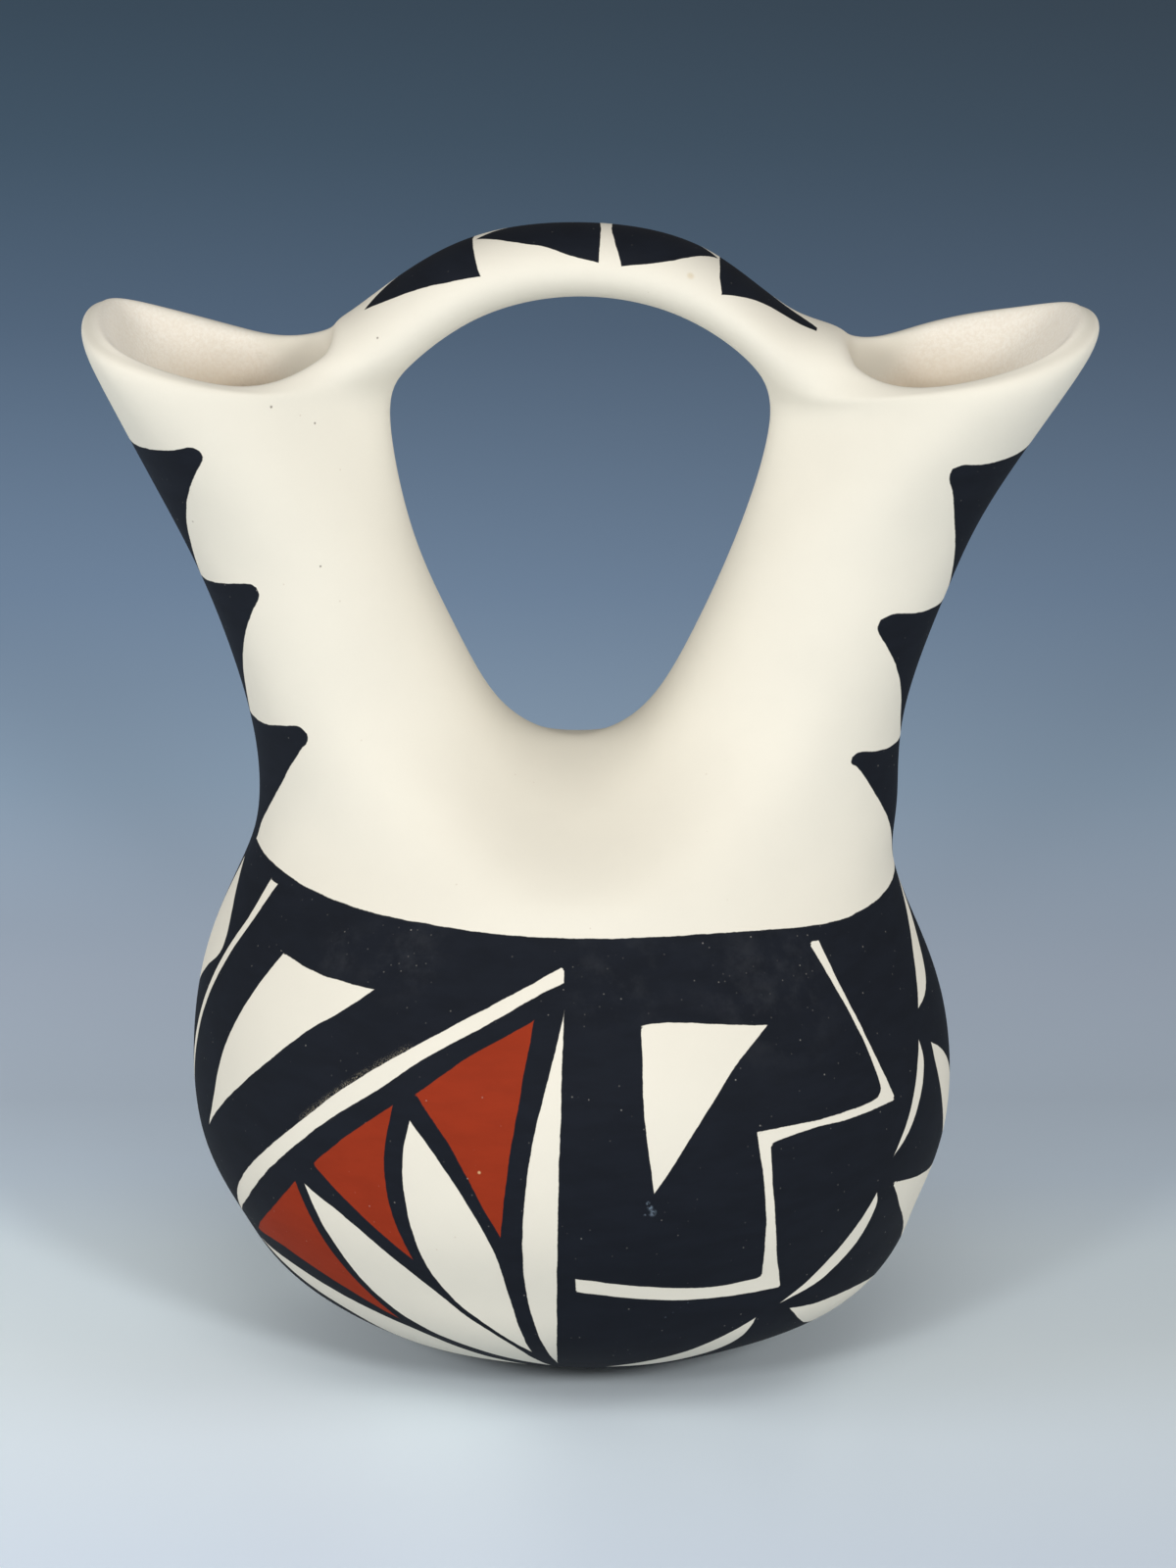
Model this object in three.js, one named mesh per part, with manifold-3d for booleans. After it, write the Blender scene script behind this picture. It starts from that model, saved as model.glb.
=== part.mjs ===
// Wedding vase: a hand-built, hollow clay pot with one round belly, two spouts that lean apart
// and an arched handle that joins their rims. Millimetres, +Z up, front towards -Y, +X to the right.
// The origin is the middle of the flat foot.
// The wall is one smooth skin through rings of chosen points. It is then parted at the potter's joins
// into the clay pieces that are luted together: bowl, walls, yoke, spouts, lips and handle.

import * as THREE from 'three';
import { mergeVertices } from 'three/addons/utils/BufferGeometryUtils.js';
import Module from 'manifold-3d';

const wasm = await Module();
wasm.setup();

const rad = THREE.MathUtils.degToRad;
const mix = THREE.MathUtils.lerp;
const vec = (x, y, z) => new THREE.Vector3(x, y, z);

// Body, as real sizes of the outer surface
const FOOT_RADIUS = 20;
const BELLY_RADIUS = 77;
const BELLY_HEIGHT = 57;
const NECK_HEIGHT = 112.5;
const NECK_HALF_WIDTH = 64.4;
const YOKE_HALF_DEPTH = 46;
const BELLY_TURNS = [36, 62, 90];
const SHOULDER_RISES = [0.4, 0.78, 1];
const SHOULDER_FALL = 1.12;
const BODY_DRIFT = [0, 3, 0.6, -0.1, -1.5, -1.3, 0.6];

// Crotch between the spouts
const CROTCH_HEIGHT = 125.2;
const CROTCH_HALF_WIDTH = 4.5;
const CROTCH_HALF_DEPTH = 9;

// Spouts, each from its root ring to the ring under its lip
const SPOUT_ROOT = { out: 40.5, height: 133, halfWidth: 25.9, halfDepth: 28.5, tilt: 3 };
const SPOUT_TOP = { out: 58.7, height: 175, halfWidth: 25.3, halfDepth: 23.5, tilt: 7 };

// Lips
const RIGHT_REACH = 102;
const LEFT_REACH = 97.7;
const MOUTH_INNER = 47;
const MOUTH_HALF_DEPTH = 22.5;
const TIP_HEIGHT = 216;
const RIM_LOW_HEIGHT = 202.8;
const RIM_INNER_HEIGHT = 208;
const LIP_DEPTH = 5.5;
const LIP_HALF_THICKNESS = 3.3;
const LIP_FLARE = { tip: 28, side: 8, inner: 25 };

// Handle: an elliptic arch, and the ring of points where it grows out of a lip
const HANDLE_TOP_HEIGHT = 226.6;
const HANDLE_HALF_SPAN = 49.5;
const HANDLE_RISE = 41.9;
const HANDLE_CROWN = { halfHeight: 6.8, halfDepth: 11 };
const HANDLE_END = { halfHeight: 7.2, halfDepth: 12.5 };
const HANDLE_END_ANGLE = 52;
const ROOT_HEIGHT = 195.1;
const ROOT_UNDER = { out: 41.8, rise: 0, halfDepth: 7 };
const ROOT_SIDE = { out: 49, rise: 11.1, halfDepth: 12.5 };
const ROOT_OVER = { out: 51.9, rise: 9.7, halfDepth: 7 };

// Clay wall, and the slight lean of everything above the belly
const WALL = 5;
const FLOOR = 7;
const FOOT_TRIM = 1;
const LEAN = 0.36;

// Heights of the joins between the clay pieces. The handle is joined on a little way in from its root
const ROOT_CLEARANCE = { below: 3.1, inward: 4.5 };
const BOWL_JOIN = bellyRing(BELLY_TURNS[0])[0];
const SHOULDER_JOIN = BELLY_HEIGHT;
const YOKE_JOIN = shoulderRing(SHOULDER_RISES[1])[0];
const SPOUT_JOIN = mix(SPOUT_ROOT.height, SPOUT_TOP.height, 1 / 6);
const LIP_JOIN = ROOT_HEIGHT - ROOT_CLEARANCE.below;
const HANDLE_JOIN_OUT = ROOT_UNDER.out - ROOT_CLEARANCE.inward;

const BODY_POINTS = 12;
const SPOUT_POINTS = 8;
const HANDLE_STATIONS = [1, 0.52, 0, -0.52, -1];
const SMOOTHING_ROUNDS = 2;
const FITTING_ROUNDS = 60;
const FITTING_STEP = 1.5;

const SLIP = { color: '#efe9da', roughness: 0.85 };
const BLACK = { color: '#2c3136', roughness: 0.8 };

// Height, half width and half depth of a ring on the quarter circle from the foot to the belly
function bellyRing(degrees) {
  const radius = mix(FOOT_RADIUS, BELLY_RADIUS, Math.sin(rad(degrees)));
  return [BELLY_HEIGHT * (1 - Math.cos(rad(degrees))), radius, radius];
}

// The same for a ring on the shoulder, which gets flatter in front and behind as it rises to the neck
function shoulderRing(rise) {
  const fall = (1 + Math.cos(Math.PI * rise ** SHOULDER_FALL)) / 2;
  const halfWidth = mix(NECK_HALF_WIDTH, BELLY_RADIUS, fall);
  const flattening = (NECK_HALF_WIDTH - YOKE_HALF_DEPTH) * rise ** 2;
  return [mix(BELLY_HEIGHT, NECK_HEIGHT, rise), halfWidth, halfWidth - flattening];
}

// The skin: a list of points and a list of four-cornered faces over them
class Skin {
  constructor() {
    this.points = [];
    this.faces = [];
  }

  add(points) {
    const first = this.points.length;
    this.points.push(...points);
    return points.map((_, i) => first + i);
  }

  band(lower, upper, skip = -1) {
    lower.forEach((_, i) => {
      const next = (i + 1) % lower.length;
      if (i !== skip) this.faces.push([lower[i], lower[next], upper[next], upper[i]]);
    });
  }
}

function bodyRing([height, halfWidth, halfDepth], drift) {
  return Array.from({ length: BODY_POINTS }, (_, i) => {
    const turn = ((i + 0.5) * 2 * Math.PI) / BODY_POINTS;
    return vec(drift + halfWidth * Math.cos(turn), halfDepth * Math.sin(turn), height);
  });
}

const spoutTurn = (i) => ((i + 0.5) * 2 * Math.PI) / SPOUT_POINTS;

// A spout's ring. side is 1 on the right and -1 on the left, where the ring is turned half round
function spoutRing(side, t) {
  const at = (key) => mix(SPOUT_ROOT[key], SPOUT_TOP[key], t);
  const tilt = rad(at('tilt'));
  return Array.from({ length: SPOUT_POINTS }, (_, i) => {
    const across = at('halfWidth') * Math.cos(spoutTurn(i));
    const x = at('out') + across * Math.cos(tilt);
    const y = at('halfDepth') * Math.sin(spoutTurn(i));
    return vec(side * x, side * y, at('height') + across * Math.sin(tilt));
  });
}

// The lip's outer, crest and inner rings. Points 3 and 4 face the handle and form its root
function lipRings(side, reach) {
  const rings = { outer: [], crest: [], inner: [] };
  const middle = (reach + MOUTH_INNER) / 2;
  for (let i = 0; i < SPOUT_POINTS; i += 1) {
    const c = Math.cos(spoutTurn(i));
    const s = Math.sin(spoutTurn(i));
    const nearTip = ((1 + c) / 2) ** 2.2;
    const nearRoot = ((1 - c) / 2) ** 2.2;
    const blend = (low, tip, root) => low + (tip - low) * nearTip + (root - low) * nearRoot;
    const crest = vec(
      middle + (reach - middle) * c,
      MOUTH_HALF_DEPTH * s,
      blend(RIM_LOW_HEIGHT, TIP_HEIGHT, RIM_INNER_HEIGHT),
    );
    const flare = rad(blend(LIP_FLARE.side, LIP_FLARE.tip, LIP_FLARE.inner));
    const down = vec(-c * Math.sin(flare), -s * Math.sin(flare), -Math.cos(flare));
    const outward = vec(c * Math.cos(flare), s * Math.cos(flare), -Math.sin(flare));
    const under = crest.clone().addScaledVector(down, LIP_DEPTH);
    rings.crest.push(crest);
    rings.outer.push(under.clone().addScaledVector(outward, LIP_HALF_THICKNESS));
    rings.inner.push(under.clone().addScaledVector(outward, -LIP_HALF_THICKNESS));
  }
  const roots = { outer: ROOT_UNDER, crest: ROOT_SIDE, inner: ROOT_OVER };
  for (const [name, root] of Object.entries(roots)) {
    rings[name][3] = vec(root.out, root.halfDepth, ROOT_HEIGHT + root.rise);
    rings[name][4] = vec(root.out, -root.halfDepth, ROOT_HEIGHT + root.rise);
    rings[name].forEach((p) => p.set(side * p.x, side * p.y, p.z));
  }
  return rings;
}

// A ring round the handle, in the order under back, under front, side front, over front, over back,
// side back
function handleRing(station) {
  const turn = rad(HANDLE_END_ANGLE * station);
  const end = Math.abs(station);
  const halfHeight = mix(HANDLE_CROWN.halfHeight, HANDLE_END.halfHeight, end);
  const halfDepth = mix(HANDLE_CROWN.halfDepth, HANDLE_END.halfDepth, end);
  const middle = vec(HANDLE_HALF_SPAN * Math.sin(turn), 0, HANDLE_TOP_HEIGHT - HANDLE_RISE * (1 - Math.cos(turn)));
  const slope = Math.atan2(HANDLE_RISE * Math.sin(turn), HANDLE_HALF_SPAN * Math.cos(turn));
  return [-120, -60, 0, 60, 120, 180].map((degrees) => {
    const up = halfHeight * Math.sin(rad(degrees));
    const front = halfDepth * Math.cos(rad(degrees));
    return vec(middle.x + up * Math.sin(slope), -front, middle.z + up * Math.cos(slope));
  });
}

// Outer skin from the foot to the rings under the lips. Returns those two rings' point numbers
function outerSkin(skin) {
  const sizes = [
    [-FOOT_TRIM, FOOT_RADIUS, FOOT_RADIUS],
    ...BELLY_TURNS.map(bellyRing),
    ...SHOULDER_RISES.map(shoulderRing),
  ];
  const rings = sizes.map((size, i) => skin.add(bodyRing(size, BODY_DRIFT[i])));
  const [centre] = skin.add([vec(0, 0, -FOOT_TRIM)]);
  const foot = rings[0];
  for (let i = 0; i < BODY_POINTS; i += 2) {
    const before = foot[(i + BODY_POINTS - 1) % BODY_POINTS];
    skin.faces.push([centre, foot[i + 1], foot[i], before]);
  }
  rings.slice(1).forEach((ring, i) => skin.band(rings[i], ring));

  const w = CROTCH_HALF_WIDTH;
  const d = CROTCH_HALF_DEPTH;
  const [rightFront, rightBack, leftBack, leftFront] = skin.add([
    vec(w, -d, CROTCH_HEIGHT),
    vec(w, d, CROTCH_HEIGHT),
    vec(-w, d, CROTCH_HEIGHT),
    vec(-w, -d, CROTCH_HEIGHT),
  ]);
  const yoke = rings.at(-1);
  skin.faces.push([yoke[8], yoke[9], rightFront, leftFront]);
  skin.faces.push([leftFront, rightFront, rightBack, leftBack]);
  skin.faces.push([leftBack, rightBack, yoke[2], yoke[3]]);

  const loops = [
    [yoke[0], yoke[1], yoke[2], rightBack, rightFront, yoke[9], yoke[10], yoke[11]],
    [yoke[6], yoke[7], yoke[8], leftFront, leftBack, yoke[3], yoke[4], yoke[5]],
  ];
  return [1, -1].map((side, i) => {
    const spout = [0, 0.5, 1].map((t) => skin.add(spoutRing(side, t)));
    const lip = skin.add(lipRings(side, side > 0 ? RIGHT_REACH : LEFT_REACH).outer);
    [loops[i], ...spout].forEach((ring, j) => skin.band(ring, [...spout, lip][j]));
    return lip;
  });
}

// The inner skin follows the outer one at the wall's thickness, with its faces turned round
function innerSkin(skin, outerLips) {
  const count = skin.points.length;
  const normals = skin.points.map(() => vec(0, 0, 0));
  for (const face of skin.faces) {
    face.forEach((corner, i) => {
      const here = skin.points[corner];
      const ahead = skin.points[face[(i + 1) % 4]].clone().sub(here);
      const behind = skin.points[face[(i + 3) % 4]].clone().sub(here);
      normals[corner].add(ahead.cross(behind).normalize());
    });
  }
  const inside = skin.points.map((p, i) => p.clone().addScaledVector(normals[i].normalize(), -WALL));
  inside.forEach((p, i) => {
    if (skin.points[i].z < 0) p.z = FLOOR;
  });
  outerLips.forEach((lip, k) => {
    const rings = lipRings(k === 0 ? 1 : -1, k === 0 ? RIGHT_REACH : LEFT_REACH);
    lip.forEach((corner, i) => inside[corner].copy(rings.inner[i]));
  });
  const faces = skin.faces.map((face) => face.map((corner) => corner + count).reverse());
  skin.add(inside);
  skin.faces.push(...faces);
  return outerLips.map((lip) => lip.map((corner) => corner + count));
}

// The crests close the wall at the top, and the handle joins the two root openings left in them
function lipsAndHandle(skin, outer, inner) {
  const crests = [RIGHT_REACH, LEFT_REACH].map((reach, k) => {
    const crest = skin.add(lipRings(k === 0 ? 1 : -1, reach).crest);
    skin.band(outer[k], crest, 3);
    skin.band(crest, inner[k], 3);
    return crest;
  });
  const [right, left] = [0, 1].map((k) => {
    const [o, c, n] = [outer[k], crests[k], inner[k]];
    const [back, front] = k === 0 ? [3, 4] : [4, 3];
    return [o[back], o[front], c[front], n[front], n[back], c[back]];
  });
  const rings = [right, ...HANDLE_STATIONS.map((station) => skin.add(handleRing(station))), left];
  rings.slice(1).forEach((ring, i) => skin.band(rings[i], ring));
}

function lean(points) {
  const slope = Math.tan(rad(LEAN));
  points.forEach((p) => { p.x += slope * Math.max(0, p.z - BELLY_HEIGHT); });
}

// Neighbours of each point: along edges and across faces
function neighbours(count, faces) {
  const around = Array.from({ length: count }, () => ({ edge: new Set(), across: [] }));
  for (const face of faces) {
    face.forEach((corner, i) => {
      around[corner].edge.add(face[(i + 1) % 4]).add(face[(i + 3) % 4]);
      around[corner].across.push(face[(i + 2) % 4]);
    });
  }
  return around;
}

// Where each point of the cage ends up on the finished smooth surface
function settled(points, around) {
  return points.map((p, i) => {
    const { edge, across } = around[i];
    const n = across.length;
    const sum = p.clone().multiplyScalar(n * n);
    edge.forEach((k) => sum.addScaledVector(points[k], 4));
    across.forEach((k) => sum.add(points[k]));
    return sum.divideScalar(n * (n + 5));
  });
}

// Moves the cage until the finished surface runs through the chosen points
function cageThrough(targets, faces) {
  const around = neighbours(targets.length, faces);
  const cage = targets.map((p) => p.clone());
  for (let round = 0; round < FITTING_ROUNDS; round += 1) {
    const now = settled(cage, around);
    cage.forEach((p, i) => p.addScaledVector(targets[i].clone().sub(now[i]), FITTING_STEP));
  }
  return cage;
}

// One round of Catmull-Clark smoothing
function smoothed({ points, faces }) {
  const middles = faces.map((face) => {
    const sum = vec(0, 0, 0);
    face.forEach((k) => sum.add(points[k]));
    return sum.divideScalar(4);
  });
  const edges = new Map();
  const keyOf = (a, b) => Math.min(a, b) * points.length + Math.max(a, b);
  faces.forEach((face, f) => face.forEach((a, i) => {
    const b = face[(i + 1) % 4];
    const key = keyOf(a, b);
    if (!edges.has(key)) edges.set(key, { ends: [a, b], sides: [], index: points.length + edges.size });
    edges.get(key).sides.push(f);
  }));
  const made = [];
  const tally = points.map(() => ({ n: 0, edge: vec(0, 0, 0), face: vec(0, 0, 0) }));
  for (const { ends: [a, b], sides: [f, g], index } of edges.values()) {
    const half = points[a].clone().add(points[b]).multiplyScalar(0.5);
    made[index] = half.clone().multiplyScalar(2).add(middles[f]).add(middles[g]).multiplyScalar(0.25);
    tally[a].edge.add(half);
    tally[b].edge.add(half);
  }
  faces.forEach((face, f) => face.forEach((k) => {
    tally[k].n += 1;
    tally[k].face.add(middles[f]);
  }));
  points.forEach((p, i) => {
    const { n, edge, face } = tally[i];
    made[i] = edge.multiplyScalar(2 / n).add(face.divideScalar(n)).addScaledVector(p, n - 3).divideScalar(n);
  });
  const firstMiddle = points.length + edges.size;
  middles.forEach((p, f) => { made[firstMiddle + f] = p; });
  const quarters = faces.flatMap((face, f) => face.map((a, i) => {
    const next = edges.get(keyOf(a, face[(i + 1) % 4])).index;
    const last = edges.get(keyOf(a, face[(i + 3) % 4])).index;
    return [a, next, firstMiddle + f, last];
  }));
  return { points: made, faces: quarters };
}

// Triangles of the finished skin, each face split along its shorter diagonal
function skinGeometry({ points, faces }) {
  const index = faces.flatMap(([a, b, c, d]) => {
    const short = points[a].distanceTo(points[c]) <= points[b].distanceTo(points[d]);
    return short ? [a, b, c, a, c, d] : [a, b, d, b, c, d];
  });
  const geometry = new THREE.BufferGeometry();
  geometry.setAttribute('position', new THREE.Float32BufferAttribute(points.flatMap((p) => [p.x, p.y, p.z]), 3));
  geometry.setIndex(index);
  return geometry;
}

// Points that lie at a join to a hair's breadth are set exactly on it, so that no slivers are cut there
function levelled(points) {
  points.forEach((p) => {
    const join = [BOWL_JOIN, SHOULDER_JOIN, YOKE_JOIN].find((height) => Math.abs(p.z - height) < 0.02);
    p.z = join ?? p.z;
  });
}

function vaseGeometry() {
  const skin = new Skin();
  const outerLips = outerSkin(skin);
  const innerLips = innerSkin(skin, outerLips);
  lipsAndHandle(skin, outerLips, innerLips);
  lean(skin.points);
  let surface = { points: cageThrough(skin.points, skin.faces), faces: skin.faces };
  for (let round = 0; round < SMOOTHING_ROUNDS; round += 1) surface = smoothed(surface);
  const around = neighbours(surface.points.length, surface.faces);
  surface.points = settled(surface.points, around);
  levelled(surface.points);
  return skinGeometry(surface);
}

function toSolid(geometry) {
  const g = geometry.clone();
  g.deleteAttribute('normal');
  g.deleteAttribute('uv');
  const merged = mergeVertices(g);
  return new wasm.Manifold(new wasm.Mesh({
    numProp: 3,
    vertProperties: new Float32Array(merged.attributes.position.array),
    triVerts: new Uint32Array(merged.index.array),
  }));
}

function toMesh(name, solid, { color, roughness }) {
  const { numProp, vertProperties, triVerts } = solid.getMesh();
  const position = [];
  for (let i = 0; i < vertProperties.length; i += numProp) position.push(...vertProperties.slice(i, i + 3));
  const geometry = new THREE.BufferGeometry();
  geometry.setAttribute('position', new THREE.Float32BufferAttribute(position, 3));
  geometry.setIndex(Array.from(triVerts));
  geometry.computeVertexNormals();
  const mesh = new THREE.Mesh(geometry, new THREE.MeshStandardMaterial({ color, roughness, metalness: 0 }));
  mesh.name = name;
  return mesh;
}

// A block of space between two corners, for parting the vase at its joins
function block([x0, y0, z0], [x1, y1, z1]) {
  const box = new THREE.BoxGeometry(x1 - x0, y1 - y0, z1 - z0);
  box.translate((x0 + x1) / 2, (y0 + y1) / 2, (z0 + z1) / 2);
  return toSolid(box);
}

const FAR = 2 * (BELLY_RADIUS + HANDLE_TOP_HEIGHT);
const slab = (low, high) => block([-FAR, -FAR, low], [FAR, FAR, high]);
const sideSlab = (side, near, low, high) => block(
  [side > 0 ? near : -FAR, -FAR, low],
  [side > 0 ? FAR : -near, FAR, high],
);

// A lip keeps all of its side up to the height of the handle's roots, and what is outside the joins above
const lipSpace = (side) => sideSlab(side, 0, LIP_JOIN, ROOT_HEIGHT).add(
  sideSlab(side, HANDLE_JOIN_OUT, ROOT_HEIGHT, FAR),
);

const vase = toSolid(vaseGeometry());
const group = new THREE.Group();
const addPiece = (name, space, finish) => group.add(toMesh(name, vase.intersect(space), finish));

addPiece('base_bowl', slab(0, BOWL_JOIN), BLACK);
addPiece('belly_wall', slab(BOWL_JOIN, SHOULDER_JOIN), BLACK);
addPiece('shoulder_wall', slab(SHOULDER_JOIN, YOKE_JOIN), BLACK);
addPiece('yoke', slab(YOKE_JOIN, SPOUT_JOIN), SLIP);
addPiece('left_spout', sideSlab(-1, 0, SPOUT_JOIN, LIP_JOIN), SLIP);
addPiece('right_spout', sideSlab(1, 0, SPOUT_JOIN, LIP_JOIN), SLIP);
addPiece('left_lip', lipSpace(-1), SLIP);
addPiece('right_lip', lipSpace(1), SLIP);
addPiece('handle_arch', block([-HANDLE_JOIN_OUT, -FAR, ROOT_HEIGHT], [HANDLE_JOIN_OUT, FAR, FAR]), SLIP);

export default group;
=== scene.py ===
import math

import bmesh
import bpy
import numpy as np
from bpy.props import FloatProperty, FloatVectorProperty, IntProperty, PointerProperty
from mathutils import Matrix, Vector


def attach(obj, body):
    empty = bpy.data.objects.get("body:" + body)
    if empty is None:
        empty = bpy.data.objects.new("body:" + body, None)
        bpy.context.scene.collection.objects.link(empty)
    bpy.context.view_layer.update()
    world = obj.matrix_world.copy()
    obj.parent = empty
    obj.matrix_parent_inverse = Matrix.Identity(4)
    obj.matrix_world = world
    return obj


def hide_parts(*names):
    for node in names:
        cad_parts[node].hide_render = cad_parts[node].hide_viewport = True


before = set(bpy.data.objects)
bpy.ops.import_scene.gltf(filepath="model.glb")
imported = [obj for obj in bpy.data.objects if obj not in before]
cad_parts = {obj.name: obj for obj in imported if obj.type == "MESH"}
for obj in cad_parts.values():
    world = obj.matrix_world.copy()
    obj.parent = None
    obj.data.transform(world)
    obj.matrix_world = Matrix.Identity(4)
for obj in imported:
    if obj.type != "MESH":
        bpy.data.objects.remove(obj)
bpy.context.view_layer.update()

bl_info = {
    "name": "Wedding vase",
    "version": (1, 0, 0),
    "blender": (4, 5, 0),
    "location": "3D View > Sidebar > Wedding vase",
    "description": "Shapes, paints and lights a hand-built two-spouted clay vase",
    "category": "Object",
}

# Lengths in the tables below are in millimetres, and angles in degrees. The front is towards -Y.
MM = 0.001

# Rings of the body from the foot up: height, half width, half depth, and how far the ring sits off centre
BODY_RINGS = [
    (-1, 20, 20, 0),
    (11.6, 53.8, 53.8, 2.8),
    (29, 69, 69, 0.8),
    (46, 75.85, 75.85, -0.2),
    (68, 76.15, 76.15, -0.8),
    (86, 71.2, 69.2, -1.8),
    (101, 65.6, 58, -1.2),
    (114, 64.4, 46, 0.6),
]
# Rings of the right spout, from its root up: middle, height, half width, half depth, tilt
SPOUT_RINGS = [
    (40.5, 133, 26, 28.5, 1),
    (49.4, 154, 26, 25, 11),
    (58.9, 175, 27.2, 23.5, 12.3),
]
# How much slimmer the left spout is, in millimetres each way
LEFT_SLIMMER = 0.5
# Crest of a lip from its tip inward, and then where the handle grows out of it, as its under, side and top
# points. Each is how far out, height, half depth.
RIGHT_CREST = ((100.78, 213.9, 9.5), (89.7, 210.3, 22), (68.9, 205.8, 24))
RIGHT_ROOT = ((42.4, 195, 7), (49.3, 202.8, 14), (55.8, 205.3, 9.2))
LEFT_CREST = ((96.5, 213.9, 10.5), (86.8, 210.8, 22.5), (64.8, 205.2, 21.6))
LEFT_ROOT = ((41.2, 195.8, 7), (49.5, 205.5, 13.5), (50.3, 205.8, 6.5))
# How much a lip leans outward at those three points
LIP_FLARE = (27, 16, 16)
# The handle's half height and half depth at its crown and at its ends, and the angle of its arch at an end
HANDLE_CROWN = (7.05, 11)
HANDLE_RIGHT_END = (6.6, 12.5)
HANDLE_LEFT_END = (7.8, 12.5)
HANDLE_END_ANGLE = 52
# Where the handle's rings stand, as shares of that angle from its right end to its left end
HANDLE_STATIONS = (1, 0.52, 0, -0.52, -1)

# How many points a ring has
BODY_POINTS = 12
SPOUT_POINTS = 8

SKIN = "clay_skin"
# The clay pieces, and the heights of the level joins between them from the foot up
PIECES = [
    "base_bowl", "belly_wall", "shoulder_wall", "yoke", "left_spout", "right_spout", "left_lip", "right_lip",
    "handle_arch",
]
BODY_PIECES = PIECES[:3]
LEVEL_JOINS = [10.89, 57, 100.29, 140, 192]
# How far out the handle is joined on, and the height above which it's cut there
HANDLE_JOIN_OUT = 37.3
ROOT_HEIGHT = 195.1

# The painted pattern. A point on the belly is (degrees round from the front, millimetres up the wall).
# A shape is a list of brush runs, each one smooth curve that starts where the last one ended.
# The last run ends where the first began, and where it's empty a straight line closes the shape.
BAND = [
    (-180, 135), (-150, 136), (-120, 138), (-98, 139.8), (-86, 139.6), (-72.5, 138.4), (-60, 137.2),
    (-45, 136.3), (-29, 136), (-12, 135.4), (3, 135.1), (19, 134.8), (36, 133.8), (49, 132.2), (62, 131.2),
    (80, 131.4), (95, 132), (120, 133.5), (150, 134.5), (180, 135),
]
KITE = [
    [(-57.5, 125.3), (-52.5, 124.6), (-47, 124), (-36, 123.7)],
    [(-39.5, 119.9), (-46.5, 113.4), (-54, 104.7), (-62, 95.8), (-73, 84)],
    [(-70, 90.5), (-67.5, 100), (-65, 107.5), (-61, 117.5)],
]
DIAGONAL = [
    [
        (-1.9, 130.5), (-8, 127.2), (-17, 121.8), (-27.5, 114), (-36.5, 105.5), (-47.5, 93), (-58.5, 81),
        (-74, 63.5),
    ],
    [
        (-62, 72.6), (-49.5, 86.5), (-39.5, 97.8), (-31, 106.1), (-24, 113.3), (-13.5, 121), (-6, 125.7),
        (-1.9, 127.6),
    ],
    [],
]
THIN_STROKE = [
    [(-70.8, 135.6), (-72.2, 127.5), (-75, 120.6), (-80.5, 106), (-85.5, 93), (-90, 78)],
    [(-83.5, 93), (-78.6, 106.5), (-73, 121), (-70.2, 127.9), (-68, 135.5)],
    [],
]
PETAL_A = [
    [(-1.8, 122.3), (-2.1, 98), (-2.5, 74), (-3, 50), (-3.5, 37)],
    [(-6.6, 54), (-7.7, 66), (-7.6, 80), (-6.5, 95), (-4.8, 107)],
]
PETAL_B = [
    [(-25.2, 101.2), (-20.6, 94.3), (-15.6, 84.5), (-12, 74), (-10.5, 62), (-8.1, 44.2)],
    [(-14.5, 52.7), (-19.8, 59.6), (-23.6, 68.8), (-25.6, 82), (-26.1, 93)],
]
PETAL_C = [
    [(-44.4, 82.6), (-36, 76.8), (-27, 66.8), (-19.5, 56.9), (-11, 46), (-5.4, 32.4)],
    [(-18.5, 41.5), (-30, 49.8), (-37, 59), (-41, 71)],
]
PETAL_D = [
    [(-71, 57.5), (-57.5, 56.3), (-44, 51.8), (-30.5, 46.2), (-20, 38), (-12, 30)],
    [(-32, 31.5), (-43, 35.5), (-50, 44.5), (-60, 50.5)],
]
TRIANGLE = [
    [(11.2, 120.2), (16, 120.3), (24, 119.1), (33.4, 117.3)],
    [(26.3, 111.4), (19.4, 101.7), (12, 87.8)],
    [(10.8, 101), (10.7, 110)],
]
STEPPED_LINE = [
    [(49.9, 129.2), (51.5, 118.4), (54.2, 106), (57.6, 95.7)],
    [(46, 95.8), (38, 96.2), (30.7, 95.2)],
    [(31.3, 84), (33.4, 71), (36.7, 59.8)],
    [(24, 60.4), (14, 61.7), (0.4, 65)],
    [(0.3, 68.5)],
    [(13.6, 65.3), (23, 63.7), (32, 63.9)],
    [(30.6, 76.5), (28.5, 98)],
    [(43, 97.5), (52.5, 97.6), (54.3, 99.3)],
    [(51.5, 113.6), (47.6, 129.4)],
    [],
]
LEAF_UPPER = [
    [(71.3, 109), (76.3, 110), (80.5, 112.3), (86.5, 118.8), (91, 123), (94.5, 130)],
    [(80, 118.9), (75.5, 114.2)],
]
LEAF_SLIVER = [
    [(-90.3, 133.5), (-85, 129.4), (-79.2, 123.5), (-78, 118.2), (-84, 112.6), (-92, 105.5)],
    [(-94, 112), (-94, 122)],
]
LEAF_MIDDLE = [
    [(68.1, 103.6), (68.5, 99.5), (66.5, 94), (62, 87.6), (57, 83.6)],
    [(62, 91.2), (66, 99.4)],
]
PETAL_SIDE = [
    [(73, 101.3), (79, 97), (85, 91), (90, 84), (92, 74)],
    [(83, 77.3), (78.3, 84), (74, 96)],
]
WEDGE = [
    [(57.8, 77.8), (65, 75.4), (76, 72.6), (88, 71)],
    [(90, 64), (88, 57.5), (82, 53), (77.3, 55.3)],
    [(73.5, 60), (64, 69.5)],
]
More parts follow.
